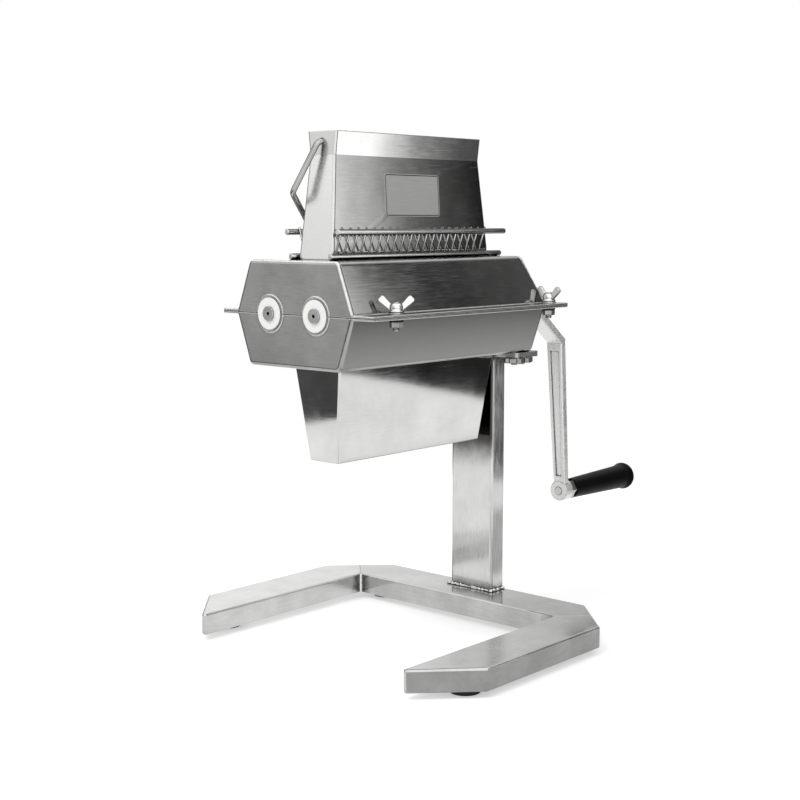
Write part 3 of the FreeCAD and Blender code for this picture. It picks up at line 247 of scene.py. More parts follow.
# ---------------------------------------------------------------- base
# Three lengths of 50 x 20 mm stainless tube, mitred, welded and ground flush into a C, then polished
# on a belt along each tube. Four rubber feet are screwed under it.
def belted_stainless(name, grain, end_grain, roughness, tone=("#CDCDCC", "#DFDFDE"), cut=0.02, line=0.05,
                     cloud=0.08, wave=0.5, drawn=0.5, bend=0.5, scatter=0.0, dust_and_shade=7):
    """Stainless as an abrasive belt leaves it: its fine marks blur what it mirrors across them.

    grain and end_grain are the belt's directions on the sides and on the ends of the piece. cut is the
    marks' depth, wave the sheet's waviness and bend its edges' radius, all in mm; line and cloud are how
    far the roughness varies, scatter is how far the painted edge highlight scatters light instead of
    mirroring it, and the last argument is how far the painted shade reaches out of a hollow, in mm.
    """
    material, tree, shader = new_material(name, {"Metallic": 1.0, "Anisotropic": drawn})
    place = add_node(tree, "ShaderNodeTexCoord").outputs["Object"]
    face = add_node(tree, "ShaderNodeNewGeometry").outputs["Normal"]
    along = vector_calc(tree, "DOT_PRODUCT", face, grain)
    size = calc(tree, "ABSOLUTE", along)
    end = calc(tree, "GREATER_THAN", size, 0.75)
    way = blend(tree, end, grain + (1,), end_grain + (1,))
    across = vector_calc(tree, "CROSS_PRODUCT", face, way)
    unit = vector_calc(tree, "NORMALIZE", across)
    fill(shader, {"Tangent": unit})
    # Belt marks are 0.1 mm apart or less; drawn 0.7 mm apart and 25 times as long, they just show.
    stretches = [tuple(0.04 if part else 1.0 for part in axis) + (1,) for axis in (grain, end_grain)]
    stretch = blend(tree, end, stretches[0], stretches[1])
    drawn_out = vector_calc(tree, "MULTIPLY", place, stretch)
    marks = noise(tree, drawn_out, 0.7, detail=3.0, roughness=0.6)
    # Heavier and lighter passes of the belt, 40 mm patches.
    clouds = noise(tree, place, 40, detail=4.0, roughness=0.6)
    # Handling scratches 2 mm apart at most, and few of them.
    tilted = add_node(tree, "ShaderNodeMapping", {"Vector": place, "Rotation": (0.5, 0.4, 0.3),
                                                  "Scale": (0.05, 1.0, 1.0)})
    handling = noise(tree, tilted, 2, detail=1.0)
    scratches = remap(tree, handling, 0.7, 0.8, 0.0, 0.05)
    cloud_span = (0.32, 0.68)
    blotch = remap(tree, clouds, *cloud_span)
    metal = blend(tree, blotch, tone[0], tone[1])
    streaks = remap(tree, marks, *noise_span, 1 - 1.6 * line, 1 + 1.6 * line)
    metal = vector_calc(tree, "MULTIPLY", metal, streaks)
    # Painted shade: the hollows are darkened by their ambient occlusion.
    hollow = add_node(tree, "ShaderNodeAmbientOcclusion", {"Distance": dust_and_shade * mm}, samples=8).outputs["AO"]
    unshaded = remap(tree, hollow, 0.2, 0.8)
    shaded = blend(tree, unshaded, "#3C3B39", metal)
    edge = add_node(tree, "ShaderNodeBevel", {"Radius": bend * mm}, samples=8)
    turned_away = vector_calc(tree, "DOT_PRODUCT", edge, face)
    # Each rounded edge has a painted highlight along its middle and a painted dark reflection where it runs
    # into the flat.
    edge_highlight = remap(tree, turned_away, 0.965, 0.91)
    runs_in = remap(tree, turned_away, 0.9995, 0.99, 0.0, 0.85)
    rim = blend(tree, runs_in, shaded, "#2A2A29")
    bright = blend(tree, edge_highlight, rim, "#FAFAF9")
    fill(shader, {"Base Color": bright})
    if scatter:
        mirroring = remap(tree, edge_highlight, 0.0, 1.0, 1.0, 1.0 - scatter)
        fill(shader, {"Metallic": mirroring})
    rough = remap(tree, clouds, *cloud_span, roughness - cloud / 2, roughness + cloud / 2)
    lines = remap(tree, marks, *noise_span, -line, line)
    both = calc(tree, "ADD", rough, lines)
    total = calc(tree, "ADD", both, scratches, use_clamp=True)
    rubbed = blend(tree, edge_highlight, total, (0.26, 0.26, 0.26, 1))
    fill(shader, {"Roughness": rubbed})
    waves = noise(tree, place, 110, detail=1.0)
    buckle = add_node(tree, "ShaderNodeBump", {"Height": waves, "Distance": wave * mm, "Normal": edge})
    cuts = add_node(tree, "ShaderNodeBump", {"Height": marks, "Distance": cut * mm, "Normal": buckle})
    fill(shader, {"Normal": cuts})
    return material


def finish(material, *names):
    """Gives CAD nodes one material."""
    for name in names:
        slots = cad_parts[name].data.materials
        slots.clear()
        slots.append(material)


arm_tube = belted_stainless("stainless_tube_belted_lengthwise", (1, 0, 0), (0, 1, 0), roughness=0.19,
                            tone=("#BEBEBD", "#D4D4D3"), cut=0.008, wave=0.3, drawn=0.3, bend=0.8)
finish(arm_tube, "base_front_arm", "base_rear_arm")
bar_tube = belted_stainless("stainless_tube_belted_crosswise", (0, 1, 0), (1, 0, 0), roughness=0.12,
                            tone=("#AEAEAD", "#C6C6C5"), cut=0.008, wave=0.3, drawn=0.3, bend=0.8)
finish(bar_tube, "base_back_bar")


def soft_black(name, colour, roughness, grit, depth, constants):
    """Black rubber or plastic with the fine texture of its mould; grit and depth are in mm."""
    material, tree, shader = new_material(name, constants)
    place = add_node(tree, "ShaderNodeTexCoord").outputs["Object"]
    sparks = noise(tree, place, grit)
    rub = noise(tree, place, 9, detail=3.0)
    shine = remap(tree, rub, *noise_span, roughness - 0.07, roughness + 0.07)
    fill(shader, {"Roughness": shine})
    dust_and_shade = blend(tree, rub, colour[0], colour[1])
    fill(shader, {"Base Color": dust_and_shade})
    skin = add_node(tree, "ShaderNodeBump", {"Height": sparks, "Distance": depth * mm})
    fill(shader, {"Normal": skin})
    return material


# Moulded rubber: nearly no shine, a little dust.
rubber = soft_black("rubber_black_moulded", ("#141414", "#262625"), roughness=0.75, grit=0.9, depth=0.05,
                    constants={"IOR": 1.52})
finish(rubber, "rubber_feet", "lower_washers")

# ---------------------------------------------------------------- welds
# TIG beads where the column stands on the base and down the base's two inner corners, left as
# welded: silvery overlapping drops, uneven at the column, neat in the corners.
weld_metal, tree, shader = new_material("stainless_weld_as_laid", {"Metallic": 1.0})
place = add_node(tree, "ShaderNodeTexCoord").outputs["Object"]
drops = noise(tree, place, 2.5)
# Painted shade: the crevices between the drops are darkened by their ambient occlusion.
hollow = add_node(tree, "ShaderNodeAmbientOcclusion", {"Distance": 3 * mm}, samples=6).outputs["AO"]
tint = blend(tree, drops, "#C9C8C4", "#F4F4F3")
weld_unshaded = remap(tree, hollow, 0.25, 0.7)
weld_shaded = blend(tree, weld_unshaded, "#3A3937", tint)
fill(shader, {"Base Color": weld_shaded})
dull = remap(tree, drops, 0.0, 1.0, 0.16, 0.34)
fill(shader, {"Roughness": dull})
ripple = add_node(tree, "ShaderNodeBump", {"Height": drops, "Distance": 0.2 * mm})
fill(shader, {"Normal": ripple})


def add_piece(name, mesh, material, body):
    """Puts a finished mesh in the scene, on a body of the machine."""
    piece = bpy.data.objects.new(name, mesh)
    bpy.context.scene.collection.objects.link(piece)
    mesh.materials.clear()
    mesh.materials.append(material)
    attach(piece, body)
    return piece


def melted(name, form, grain):
    """One smooth skin over overlapping lumps; the form is used up."""
    raw = bpy.data.meshes.new(name)
    form.to_mesh(raw)
    form.free()
    carrier = bpy.data.objects.new(name + "_raw", raw)
    bpy.context.scene.collection.objects.link(carrier)
    skin = carrier.modifiers.new("skin", "REMESH")
    skin.mode = "VOXEL"
    skin.voxel_size = grain
    soften = carrier.modifiers.new("soften", "SMOOTH")
    soften.factor = 0.5
    soften.iterations = 3
    ready = bpy.context.evaluated_depsgraph_get()
    mesh = bpy.data.meshes.new_from_object(carrier.evaluated_get(ready))
    mesh.name = name
    bpy.data.objects.remove(carrier)
    mesh.polygons.foreach_set("use_smooth", [True] * len(mesh.polygons))
    return mesh


def weld_bead(name, path, radius, pitch, uneven, seed):
    """Drops of weld along straight runs between points."""
    rng = random.Random(seed)
    strayed = 0.4
    form = bmesh.new()
    for start, end in zip(path, path[1:]):
        count = max(round((end - start).length / pitch), 1)
        for step in range(count + 1):
            spot = start.lerp(end, step / count)
            spot += Vector([rng.uniform(-1, 1) * radius * uneven * strayed for _ in range(3)])
            size = radius * (1 + uneven * rng.uniform(-1, 1))
            bmesh.ops.create_icosphere(form, subdivisions=2, radius=size, matrix=Matrix.Translation(spot))
    return melted(name, form, grain=0.45 * mm)


column_low, column_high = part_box("column")
bead_out = 1.0 * mm
bead_z = column_low.z + 0.9 * mm
bead_stop = 3 * mm
near_x, far_x = column_low.x - bead_out, column_high.x - bead_stop
left_y, right_y = column_low.y - bead_out, column_high.y + bead_out
foot_path = [Vector((far_x, left_y, bead_z)), Vector((near_x, left_y, bead_z)),
             Vector((near_x, right_y, bead_z)), Vector((far_x, right_y, bead_z))]
column_bead = add_piece("column_bead", weld_bead("column_bead", foot_path, radius=1.7 * mm, pitch=2.1 * mm,
                                                 uneven=0.35, seed=5), weld_metal, "base")
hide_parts("column_weld")

bar_low, bar_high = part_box("base_back_bar")
tube_width = 50 * mm
opening_half = 120 * mm
bead_depth, bead_end = 0.4 * mm, 2.6 * mm
for side, name in ((-1, "front_corner_bead"), (1, "rear_corner_bead")):
    corner_x = bar_high.x - tube_width - bead_depth
    corner_y = side * (opening_half - bead_depth)
    corner_path = [Vector((corner_x, corner_y, z)) for z in (bar_low.z + bead_end, bar_high.z - bead_end)]
    add_piece(name, weld_bead(name, corner_path, radius=2.2 * mm, pitch=1.1 * mm, uneven=0.08,
                              seed=9 + side), weld_metal, "base")


def heat_tint(material):
    """The grey-brown halo that welding leaves round the column's foot and in the base's inner corners."""
    tree, shader = opened(material)
    place = add_node(tree, "ShaderNodeTexCoord").outputs["Object"]
    uneven = noise(tree, place, 7, detail=3.0)
    face = add_node(tree, "ShaderNodeNewGeometry").outputs["Normal"]
    facing = add_node(tree, "ShaderNodeSeparateXYZ", {0: face})
    upright = calc(tree, "LESS_THAN", facing.outputs["Z"], 0.5)
    flat = calc(tree, "GREATER_THAN", facing.outputs["Z"], 0.5)
    foot_middle = (column_low + column_high) / 2
    foot_half = (column_high - column_low) / 2
    foot_reach, corner_reach = 6 * mm, 15 * mm
    sources = [((foot_middle.x, foot_middle.y, 0), (foot_half.x, foot_half.y, 1), foot_reach, flat)]
    sources += [((corner_x, side * opening_half, 0), (0, 0, 1), corner_reach, upright) for side in (-1, 1)]
    halo = None
    for middle, half, reach, faces in sources:
        to_weld = vector_calc(tree, "SUBTRACT", place, middle)
        sized = vector_calc(tree, "ABSOLUTE", to_weld)
        past = vector_calc(tree, "SUBTRACT", sized, half)
        outer = vector_calc(tree, "MAXIMUM", past, (0, 0, 0))
        away = vector_calc(tree, "LENGTH", outer)
        frayed = calc(tree, "MULTIPLY_ADD", uneven, reach, away)
        near = remap(tree, frayed, reach * 0.45, reach * 1.5, 0.85, 0.0, shape="SMOOTHSTEP")
        near = calc(tree, "MULTIPLY", near, faces)
        halo = near if halo is None else calc(tree, "MAXIMUM", halo, near)
    tinted = blend(tree, halo, feeding(shader, "Base Color"), "#3F3E3C")
    fill(shader, {"Base Color": tinted})


heat_tint(arm_tube)
heat_tint(bar_tube)

# ---------------------------------------------------------------- column
# The same tube standing on the back bar, polished up and down, with a thick plate welded across
# its top. The head's studs come through the plate to four nuts.
column_tube = belted_stainless("stainless_column_polished", (0, 0, 1), (0, 1, 0), roughness=0.12, cut=0.006,
                               wave=0.7, cloud=0.06, bend=1.2, dust_and_shade=26)
tree, shader = opened(column_tube)
place = add_node(tree, "ShaderNodeTexCoord").outputs["Object"]
spot = add_node(tree, "ShaderNodeSeparateXYZ", {0: place})
uneven = noise(tree, place, 12, detail=3.0)
# Heat tint and painted shade darken its foot, and painted shade darkens its face beside the chute's mouth.
foot_top, chute_shade_low, chute_shade_high = 30 * mm, 150 * mm, 184 * mm
fray, foot_fade = 12 * mm, 10 * mm
frayed = calc(tree, "MULTIPLY_ADD", uneven, fray, spot.outputs["Z"])
foot_tint_and_shade = remap(tree, frayed, foot_top, foot_top + foot_fade, 0.75, 0.0, shape="SMOOTHSTEP")
face = add_node(tree, "ShaderNodeNewGeometry").outputs["Normal"]
facing = add_node(tree, "ShaderNodeSeparateXYZ", {0: face})
towards_chute = calc(tree, "LESS_THAN", facing.outputs["X"], -0.5)
chute_shade_rise = remap(tree, frayed, chute_shade_low, chute_shade_high, shape="SMOOTHSTEP")
chute_shade = calc(tree, "MULTIPLY", chute_shade_rise, towards_chute)
foot_and_chute_shade = calc(tree, "MAXIMUM", foot_tint_and_shade, chute_shade)
darkened = blend(tree, foot_and_chute_shade, feeding(shader, "Base Color"), "#4C4B49")
fill(shader, {"Base Color": darkened})
finish(column_tube, "column")
plate_stock = belted_stainless("stainless_plate_sawn", (0, 1, 0), (1, 0, 0), roughness=0.30,
                               tone=("#9C9C9A", "#C2C2C0"), cut=0.05, wave=0.1)
finish(plate_stock, "head_mount_plate")


def hex_nut(name, places, low, flats, height, bore):
    """Hexagon nuts in one mesh, with the turned chamfer on both faces; places are their X and Y."""
    form = bmesh.new()
    around = 72
    corner = flats / 2 / math.cos(math.pi / 6)
    face_share, chamfer_angle = 0.97, math.radians(30)
    face = flats / 2 * face_share
    chamfer = (corner - face) * math.tan(chamfer_angle)
    rows = [(0.0, face), (chamfer, corner), (height - chamfer, corner), (height, face)]
    for x, y in places:
        rings = []
        for rise, limit in rows:
            ring = []
            for step in range(around):
                angle = math.tau * step / around
                wall = flats / 2 / math.cos((angle + math.pi / 6) % (math.pi / 3) - math.pi / 6)
                reach = min(wall, limit)
                ring.append(form.verts.new((x + reach * math.sin(angle), y + reach * math.cos(angle),
                                            low + rise)))
            rings.append(ring)
        for rise in (height, 0.0):
            rings.append([form.verts.new((x + bore * math.sin(math.tau * step / around),
                                          y + bore * math.cos(math.tau * step / around), low + rise))
                          for step in range(around)])
        for ring, following in zip(rings, rings[1:] + rings[:1]):
            for step in range(around):
                after = (step + 1) % around
                form.faces.new((ring[step], following[step], following[after], ring[after]))
    bmesh.ops.recalc_face_normals(form, faces=form.faces)
    mesh = bpy.data.meshes.new(name)
    form.to_mesh(mesh)
    form.free()
    return mesh


# Bright stainless off an automatic lathe, even and fairly mirror-like; the nuts are a little duller, and
# their darker colour is painted shade.
fastener = belted_stainless("stainless_fastener_bright", (0, 0, 1), (1, 0, 0), roughness=0.16,
                            tone=("#B4B4B2", "#D8D8D6"), wave=0.0, drawn=0.2, bend=0.4)
nut_steel = belted_stainless("stainless_nut_painted_shade", (0, 0, 1), (1, 0, 0), roughness=0.20,
                             tone=("#7E7E7C", "#A6A6A4"), wave=0.0, drawn=0.2, bend=0.4)
nut_flats, nut_height, nut_bore = 10 * mm, 5 * mm, 3.05 * mm


def centres(node):
    """The X and Y middles of a node's separate solids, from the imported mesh."""
    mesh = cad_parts[node].data
    form = bmesh.new()
    form.from_mesh(mesh)
    form.verts.ensure_lookup_table()
    left = set(range(len(form.verts)))
    found = []
    while left:
        island = {min(left)}
        edge_of = list(island)
        while edge_of:
            vertex = form.verts[edge_of.pop()]
            for link in vertex.link_edges:
                other = link.other_vert(vertex).index
                if other not in island:
                    island.add(other)
                    edge_of.append(other)
        left -= island
        xs = [form.verts[i].co.x for i in island]
        ys = [form.verts[i].co.y for i in island]
        found.append(((min(xs) + max(xs)) / 2, (min(ys) + max(ys)) / 2))
    form.free()
    merged = []
    for x, y in sorted(found):
        if all(math.hypot(x - a, y - b) > mm for a, b in merged):
            merged.append((x, y))
    return merged


studs = centres("mount_nuts")
mount_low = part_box("mount_nuts")[0].z
plate_nuts = add_piece("plate_nuts", hex_nut("plate_nuts", studs, mount_low, nut_flats, nut_height,
                                             nut_bore), nut_steel, "base")
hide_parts("mount_nuts")
finish(fastener, "foot_screws")

# ---------------------------------------------------------------- head
# Two deep shells of 2 mm stainless with flanges along their long sides, brushed end to end. The
# upper shell's corners are welded and ground back by hand; oil and dust sit in the seam.
head_sheet = belted_stainless("stainless_head_brushed", (1, 0, 0), (0, 1, 0), roughness=0.155,
                              tone=("#A8A8A7", "#BABAB9"), cut=0.008, cloud=0.04, wave=0.3, bend=2.2,
                              scatter=0.75)


def stain(material, mask, colour, roughness):
    """Lays another finish over a steel where the mask is 1; colour is a hex code or a socket."""
    tree, shader = opened(material)
    for socket, over in (("Base Color", colour), ("Roughness", (roughness,) * 3 + (1,))):
        fill(shader, {socket: blend(tree, mask, feeding(shader, socket), over)})


seam_z = 303 * mm
tree, shader = opened(head_sheet)
place = add_node(tree, "ShaderNodeTexCoord").outputs["Object"]
spot = add_node(tree, "ShaderNodeSeparateXYZ", {0: place})
above = calc(tree, "SUBTRACT", spot.outputs["Z"], seam_z)
off_seam = calc(tree, "ABSOLUTE", above)
# The right corners' ground band starts on a line that leans with that end, and its border wanders by
# 2 mm; it is rough, and painted near white as a highlight. The left corners' band is a painted highlight, 3
# mm wide and upright.
ground_x, ground_lean = 28.4 * mm, 0.457
right_wander, right_fade = 4 * mm, 0.8 * mm
left_width, left_wander, left_fade = 3 * mm, 1.2 * mm, 0.3 * mm
wander = noise(tree, place, 3)
leaned = calc(tree, "MULTIPLY_ADD", above, ground_lean, spot.outputs["X"])
wandered = calc(tree, "MULTIPLY_ADD", wander, right_wander, leaned)
right_start = ground_x + right_wander / 2
right_band = remap(tree, wandered, right_start, right_start + right_fade)
left_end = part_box("upper_housing")[0].x + left_width
frayed = calc(tree, "MULTIPLY_ADD", wander, left_wander, spot.outputs["X"])
left_highlight_band = remap(tree, frayed, left_end - left_fade, left_end + left_fade, 1.0, 0.0)
ground_and_highlight_band = calc(tree, "MAXIMUM", right_band, left_highlight_band)
# The flanges' edges and the seam lie within this of the seam's height, and stay as they are.
flange_from, flange_past = 2.4 * mm, 3.2 * mm
upper_only = remap(tree, above, flange_from, flange_past)
edge = add_node(tree, "ShaderNodeBevel", {"Radius": 1.7 * mm}, samples=8)
facing = add_node(tree, "ShaderNodeSeparateXYZ", {0: edge})
endways = calc(tree, "ABSOLUTE", facing.outputs["X"])
not_end = remap(tree, endways, 0.8, 0.92, 1.0, 0.0)
on_corner = calc(tree, "MULTIPLY", ground_and_highlight_band, not_end)
ground = calc(tree, "MULTIPLY", on_corner, upper_only)
# Painted highlight: both bands are painted near white and made rough.
stain(head_sheet, ground, "#FBFBFA", roughness=0.92)
grime = remap(tree, off_seam, 0.25 * mm, 0.45 * mm, 1.0, 0.0)
stain(head_sheet, grime, "#1C1C1B", roughness=0.65)
# Painted shade darkens the lower flanks, less and less downwards, and they are a little rougher. The top
# around the hood is rubbed smooth, and the upper flanks, which the belt reaches best, are nearly so.
frontal = calc(tree, "ABSOLUTE", facing.outputs["Y"])
flank = remap(tree, frontal, 0.9, 0.935)
finer = calc(tree, "MULTIPLY", flank, upper_only)
under = feeding(shader, "Roughness")
flank_share = 0.62
on_flank = calc(tree, "MULTIPLY", under, flank_share)
eased = blend(tree, finer, under, on_flank)
fill(shader, {"Roughness": eased})
lower_only = remap(tree, above, -flange_past, -flange_from, 1.0, 0.0)
shaded_flank = calc(tree, "MULTIPLY", flank, lower_only)
flank_top, flank_foot = -3 * mm, -42 * mm
downwards = remap(tree, above, flank_top, flank_foot)
flank_shade = blend(tree, downwards, "#656564", "#B5B5B4")
stain(head_sheet, shaded_flank, flank_shade, roughness=0.19)
on_top = remap(tree, facing.outputs["Z"], 0.97, 0.995)
top_from, top_full = 40 * mm, 42 * mm
up_high = remap(tree, above, top_from, top_full)
smoothed = calc(tree, "MULTIPLY", on_top, up_high)
stain(head_sheet, smoothed, "#8E8E8D", roughness=0.05)
finish(head_sheet, "upper_housing", "lower_housing")

# ---------------------------------------------------------------- discharge chute
# A tapered funnel of bright polished stainless, folded at its corners, hung in the lower shell.
chute_sheet = belted_stainless("stainless_chute_polished", (1, 0, 0), (0, 1, 0), roughness=0.07,
                               tone=("#D4D4D3", "#E4E4E3"), cut=0.002, line=0.02, cloud=0.05, wave=0.25,
                               drawn=0.0, bend=0.8)
finish(chute_sheet, "discharge_chute")

# ---------------------------------------------------------------- flange bolts and wing nuts
# Four M6 studs hold the cover down: rubber washer and nut below the flange, steel washer and a
# forged wing nut above. The wing nuts are tumbled bright and turned to where a hand left them.
bolt_low, bolt_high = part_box("flange_bolts")
bolts = centres("flange_bolts")
form = bmesh.new()
bolt_radius = 3.0 * mm
thread_depth = 0.55 * mm
thread_pitch = 1.0 * mm
bolt_end = 0.7 * mm
rows = round((bolt_high.z - bolt_low.z) / (thread_pitch / 8))
around = 24
for x, y in bolts:
    rings = []
    for row in range(rows + 1):
        z = bolt_low.z + (bolt_high.z - bolt_low.z) * row / rows
        to_end = min(z - bolt_low.z, bolt_high.z - z)
        ring = []
        for step in range(around):
            turn_share = (z / thread_pitch - step / around) % 1.0
            groove = thread_depth * abs(2 * turn_share - 1)
            reach = min(bolt_radius - groove, bolt_radius - bolt_end + to_end)
            angle = math.tau * step / around
            ring.append(form.verts.new((x + reach * math.cos(angle), y + reach * math.sin(angle), z)))
        rings.append(ring)
    for ring, following in zip(rings, rings[1:]):
        for step in range(around):
            after = (step + 1) % around
            form.faces.new((ring[step], ring[after], following[after], following[step]))
    form.faces.new(rings[0][::-1])
    form.faces.new(rings[-1])
threads = bpy.data.meshes.new("flange_threads")
form.to_mesh(threads)
form.free()
flange_threads = add_piece("flange_threads", threads, nut_steel, "base")
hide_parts("flange_bolts")
lower_nut_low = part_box("lower_nuts")[0].z
under_nuts = add_piece("under_nuts", hex_nut("under_nuts", bolts, lower_nut_low, nut_flats, nut_height,
                                             nut_bore), nut_steel, "base")
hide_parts("lower_nuts")


def wing_nut(name):
    """A forged wing nut standing on the origin, its wings along X: one skin over hub and wings."""
    form = bmesh.new()
    # The hub's outline as (radius, height), in mm.
    hub = [(3.05, 0.2), (5.9, 0.2), (6.4, 0.6), (6.4, 1.5), (5.4, 2.1), (5.2, 3.0), (5.5, 4.4), (5.3, 6.0),
           (4.5, 7.4), (3.6, 8.0), (3.05, 8.0)]
    around = 48
    rings = [[form.verts.new((r * mm * math.cos(math.tau * step / around),
                              r * mm * math.sin(math.tau * step / around), z * mm))
              for step in range(around)] for r, z in hub]
    for ring, following in zip(rings, rings[1:] + rings[:1]):
        for step in range(around):
            after = (step + 1) % around
            form.faces.new((ring[step], ring[after], following[after], following[step]))
    # One wing's outline from the hub out, in mm: a paddle that widens to a blunt, rounded tip.
    root, tip = Vector((4.4, 4.0)), Vector((13.4, 12.6))
    along = (tip - root).normalized()
    square = Vector((-along.y, along.x))
    widths = ((0.0, 2.3), (3.0, 2.4), (7.0, 2.8), (10.6, 3.05), (11.8, 2.7), (12.4, 1.9))
    outline = [root + along * run + square * half for run, half in widths]
    outline += [root + along * run - square * half for run, half in reversed(widths)]
    half_thick = 1.45
    for side in (-1, 1):
        near, far = ([form.verts.new((side * point.x * mm, depth * mm, point.y * mm)) for point in outline]
                     for depth in (-half_thick, half_thick))
        form.faces.new(near)
        form.faces.new(far[::-1])
        for step in range(len(outline)):
            after = (step + 1) % len(outline)
            form.faces.new((near[step], far[step], far[after], near[after]))
    bmesh.ops.recalc_face_normals(form, faces=form.faces)
    return melted(name, form, grain=0.35 * mm)


def dark_outline(material, colour, start=0.34, full=0.58):
    """Paints in the dark surroundings that thin round stock mirrors along its outlines."""
    tree, shader = opened(material)
    grazing = add_node(tree, "ShaderNodeLayerWeight", {"Blend": 0.5})
    outline = remap(tree, grazing.outputs["Facing"], start, full)
    fill(shader, {"Base Color": blend(tree, outline, feeding(shader, "Base Color"), colour)})


# Tumbled bright: soft edges, nearly white, darker only in the hollow between wing and hub.
tumbled = belted_stainless("stainless_wing_nut_tumbled", (0, 0, 1), (1, 0, 0), roughness=0.22,
                           tone=("#DADAD9", "#F0F0EF"), wave=0.0, drawn=0.0, bend=0.4)
dark_outline(tumbled, "#4A4A49")
finish(tumbled, "upper_washers")
wing_model = wing_nut("wing_nut_model")
wing_turns = (("front_left", -48.5), ("front_right", 78.0), ("rear_left", 20.0), ("rear_right", -30.0))
for corner, angle in wing_turns:
    node = "wing_nut_" + corner
    low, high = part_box(node)
    middle = Vector(((low.x + high.x) / 2, (low.y + high.y) / 2, low.z))
    mesh = wing_model.copy()
    mesh.transform(Matrix.Translation(middle) @ Matrix.Rotation(math.radians(angle), 4, "Z"))
    forged = add_piece(node + "_forged", mesh, tumbled, node)
    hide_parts(node)
bpy.data.meshes.remove(wing_model)

# ---------------------------------------------------------------- bushes
# White nylon bearings, faced on a lathe, so that fine rings run round them. A little dark grease
# has crept out between each bush and its collar.
nylon, tree, shader = new_material("nylon_white_turned", {
    "Roughness": 0.42, "IOR": 1.53, "Subsurface Weight": 0.15, "Subsurface Scale": 2 * mm})
roller_y = 27 * mm
bush_edge = 13.2 * mm
place = add_node(tree, "ShaderNodeTexCoord").outputs["Object"]
spot = add_node(tree, "ShaderNodeSeparateXYZ", {0: place})
mirror = calc(tree, "ABSOLUTE", spot.outputs["Y"])
sideways = calc(tree, "SUBTRACT", mirror, roller_y)
upward = calc(tree, "SUBTRACT", spot.outputs["Z"], seam_z)
offset = add_node(tree, "ShaderNodeCombineXYZ", {0: sideways, 1: upward})
distance = vector_calc(tree, "LENGTH", offset)
# Tool rings are 0.15 mm apart; drawn 0.9 mm apart to show.
turns = calc(tree, "MULTIPLY", distance, math.tau / (0.9 * mm))
rings = calc(tree, "SINE", turns)
tooled = add_node(tree, "ShaderNodeBump", {"Height": rings, "Distance": 0.02 * mm})
fill(shader, {"Normal": tooled})
greased = remap(tree, distance, bush_edge, bush_edge + 0.8 * mm)
shade = blend(tree, greased, "#F6F6F3", "#57564F")
fill(shader, {"Base Color": shade})
finish(nylon, "front_left_bush", "front_right_bush", "rear_left_bush", "rear_right_bush")

# ---------------------------------------------------------------- rollers
# Two hexagon shafts carry toothed stainless blades with spacers between them. The shaft ends are
# turned, the blades laser-cut and ground, and a pair of steel gears joins the shafts at the right.
turned = belted_stainless("stainless_shaft_turned", (0, 1, 0), (0, 0, 1), roughness=0.30,
                          tone=("#B4B4B3", "#D6D6D5"), cut=0.03, wave=0.0, drawn=0.4)
finish(turned, "front_shaft", "rear_shaft", "front_spacers", "rear_spacers", "front_circlip",
       "rear_circlip", "front_gear_key", "rear_gear_key")
blade_sheet = belted_stainless("stainless_blade_ground", (0, 0, 1), (0, 0, 1), roughness=0.22,
                               tone=("#B9B9B8", "#D9D9D8"), cut=0.03, wave=0.0, drawn=0.4)
finish(blade_sheet, "front_blades", "rear_blades")
gear_metal = belted_stainless("steel_gear_milled", (1, 0, 0), (0, 1, 0), roughness=0.34,
                              tone=("#8A8984", "#ABAAA5"), cut=0.04, wave=0.0, drawn=0.3)
finish(gear_metal, "front_gear", "rear_gear")

# ---------------------------------------------------------------- crank and grip
# A dog-leg arm cast in aluminium, tumbled and clear as cast, with a hollowed face between two ribs.
# A steel spindle with a hexagon collar is riveted through its foot; the black grip turns on it.
cast, tree, shader = new_material("aluminium_cast_tumbled", {"Metallic": 0.75})
place = add_node(tree, "ShaderNodeTexCoord").outputs["Object"]
sand = noise(tree, place, 0.9)
pour = noise(tree, place, 14, detail=4.0)
hollow = add_node(tree, "ShaderNodeAmbientOcclusion", {"Distance": 2.4 * mm}, samples=8).outputs["AO"]
tint = blend(tree, pour, "#E2E2E1", "#F9F9F8")
edge = add_node(tree, "ShaderNodeBevel", {"Radius": 1.1 * mm}, samples=16)
# Painted highlights run along the ribs' ridges, which the tumbling media polish, with a painted grey line
# beside them.
face = add_node(tree, "ShaderNodeNewGeometry").outputs["Normal"]
turned_away = vector_calc(tree, "DOT_PRODUCT", edge, face)
beside = remap(tree, turned_away, 0.9995, 0.985, 0.0, 0.7)
ridge_highlight = remap(tree, turned_away, 0.96, 0.9)
lined = blend(tree, beside, tint, "#6C6C6E")
polished = blend(tree, ridge_highlight, lined, "#FAFAFA")
# Painted shade: the hollows are darkened by their ambient occlusion.
crank_unshaded = remap(tree, hollow, 0.5, 0.84)
skin = blend(tree, crank_unshaded, "#2C2C2D", polished)
fill(shader, {"Base Color": skin})
satin = remap(tree, pour, *noise_span, 0.22, 0.36)
fill(shader, {"Roughness": satin})
pebble = add_node(tree, "ShaderNodeBump", {"Height": sand, "Distance": 0.06 * mm, "Normal": edge})
fill(shader, {"Normal": pebble})
finish(cast, "crank_arm")
finish(fastener, "crank_washer", "crank_screw", "grip_washer", "grip_screw", "grip_spindle")
# Moulded phenolic: a soft shine that the mould's fine texture breaks up.
grip_plastic = soft_black("phenolic_black_moulded", ("#040404", "#090909"), roughness=0.36, grit=0.8,
                          depth=0.01, constants={"Specular IOR Level": 0.06})
finish(grip_plastic, "grip", "grip_cap")

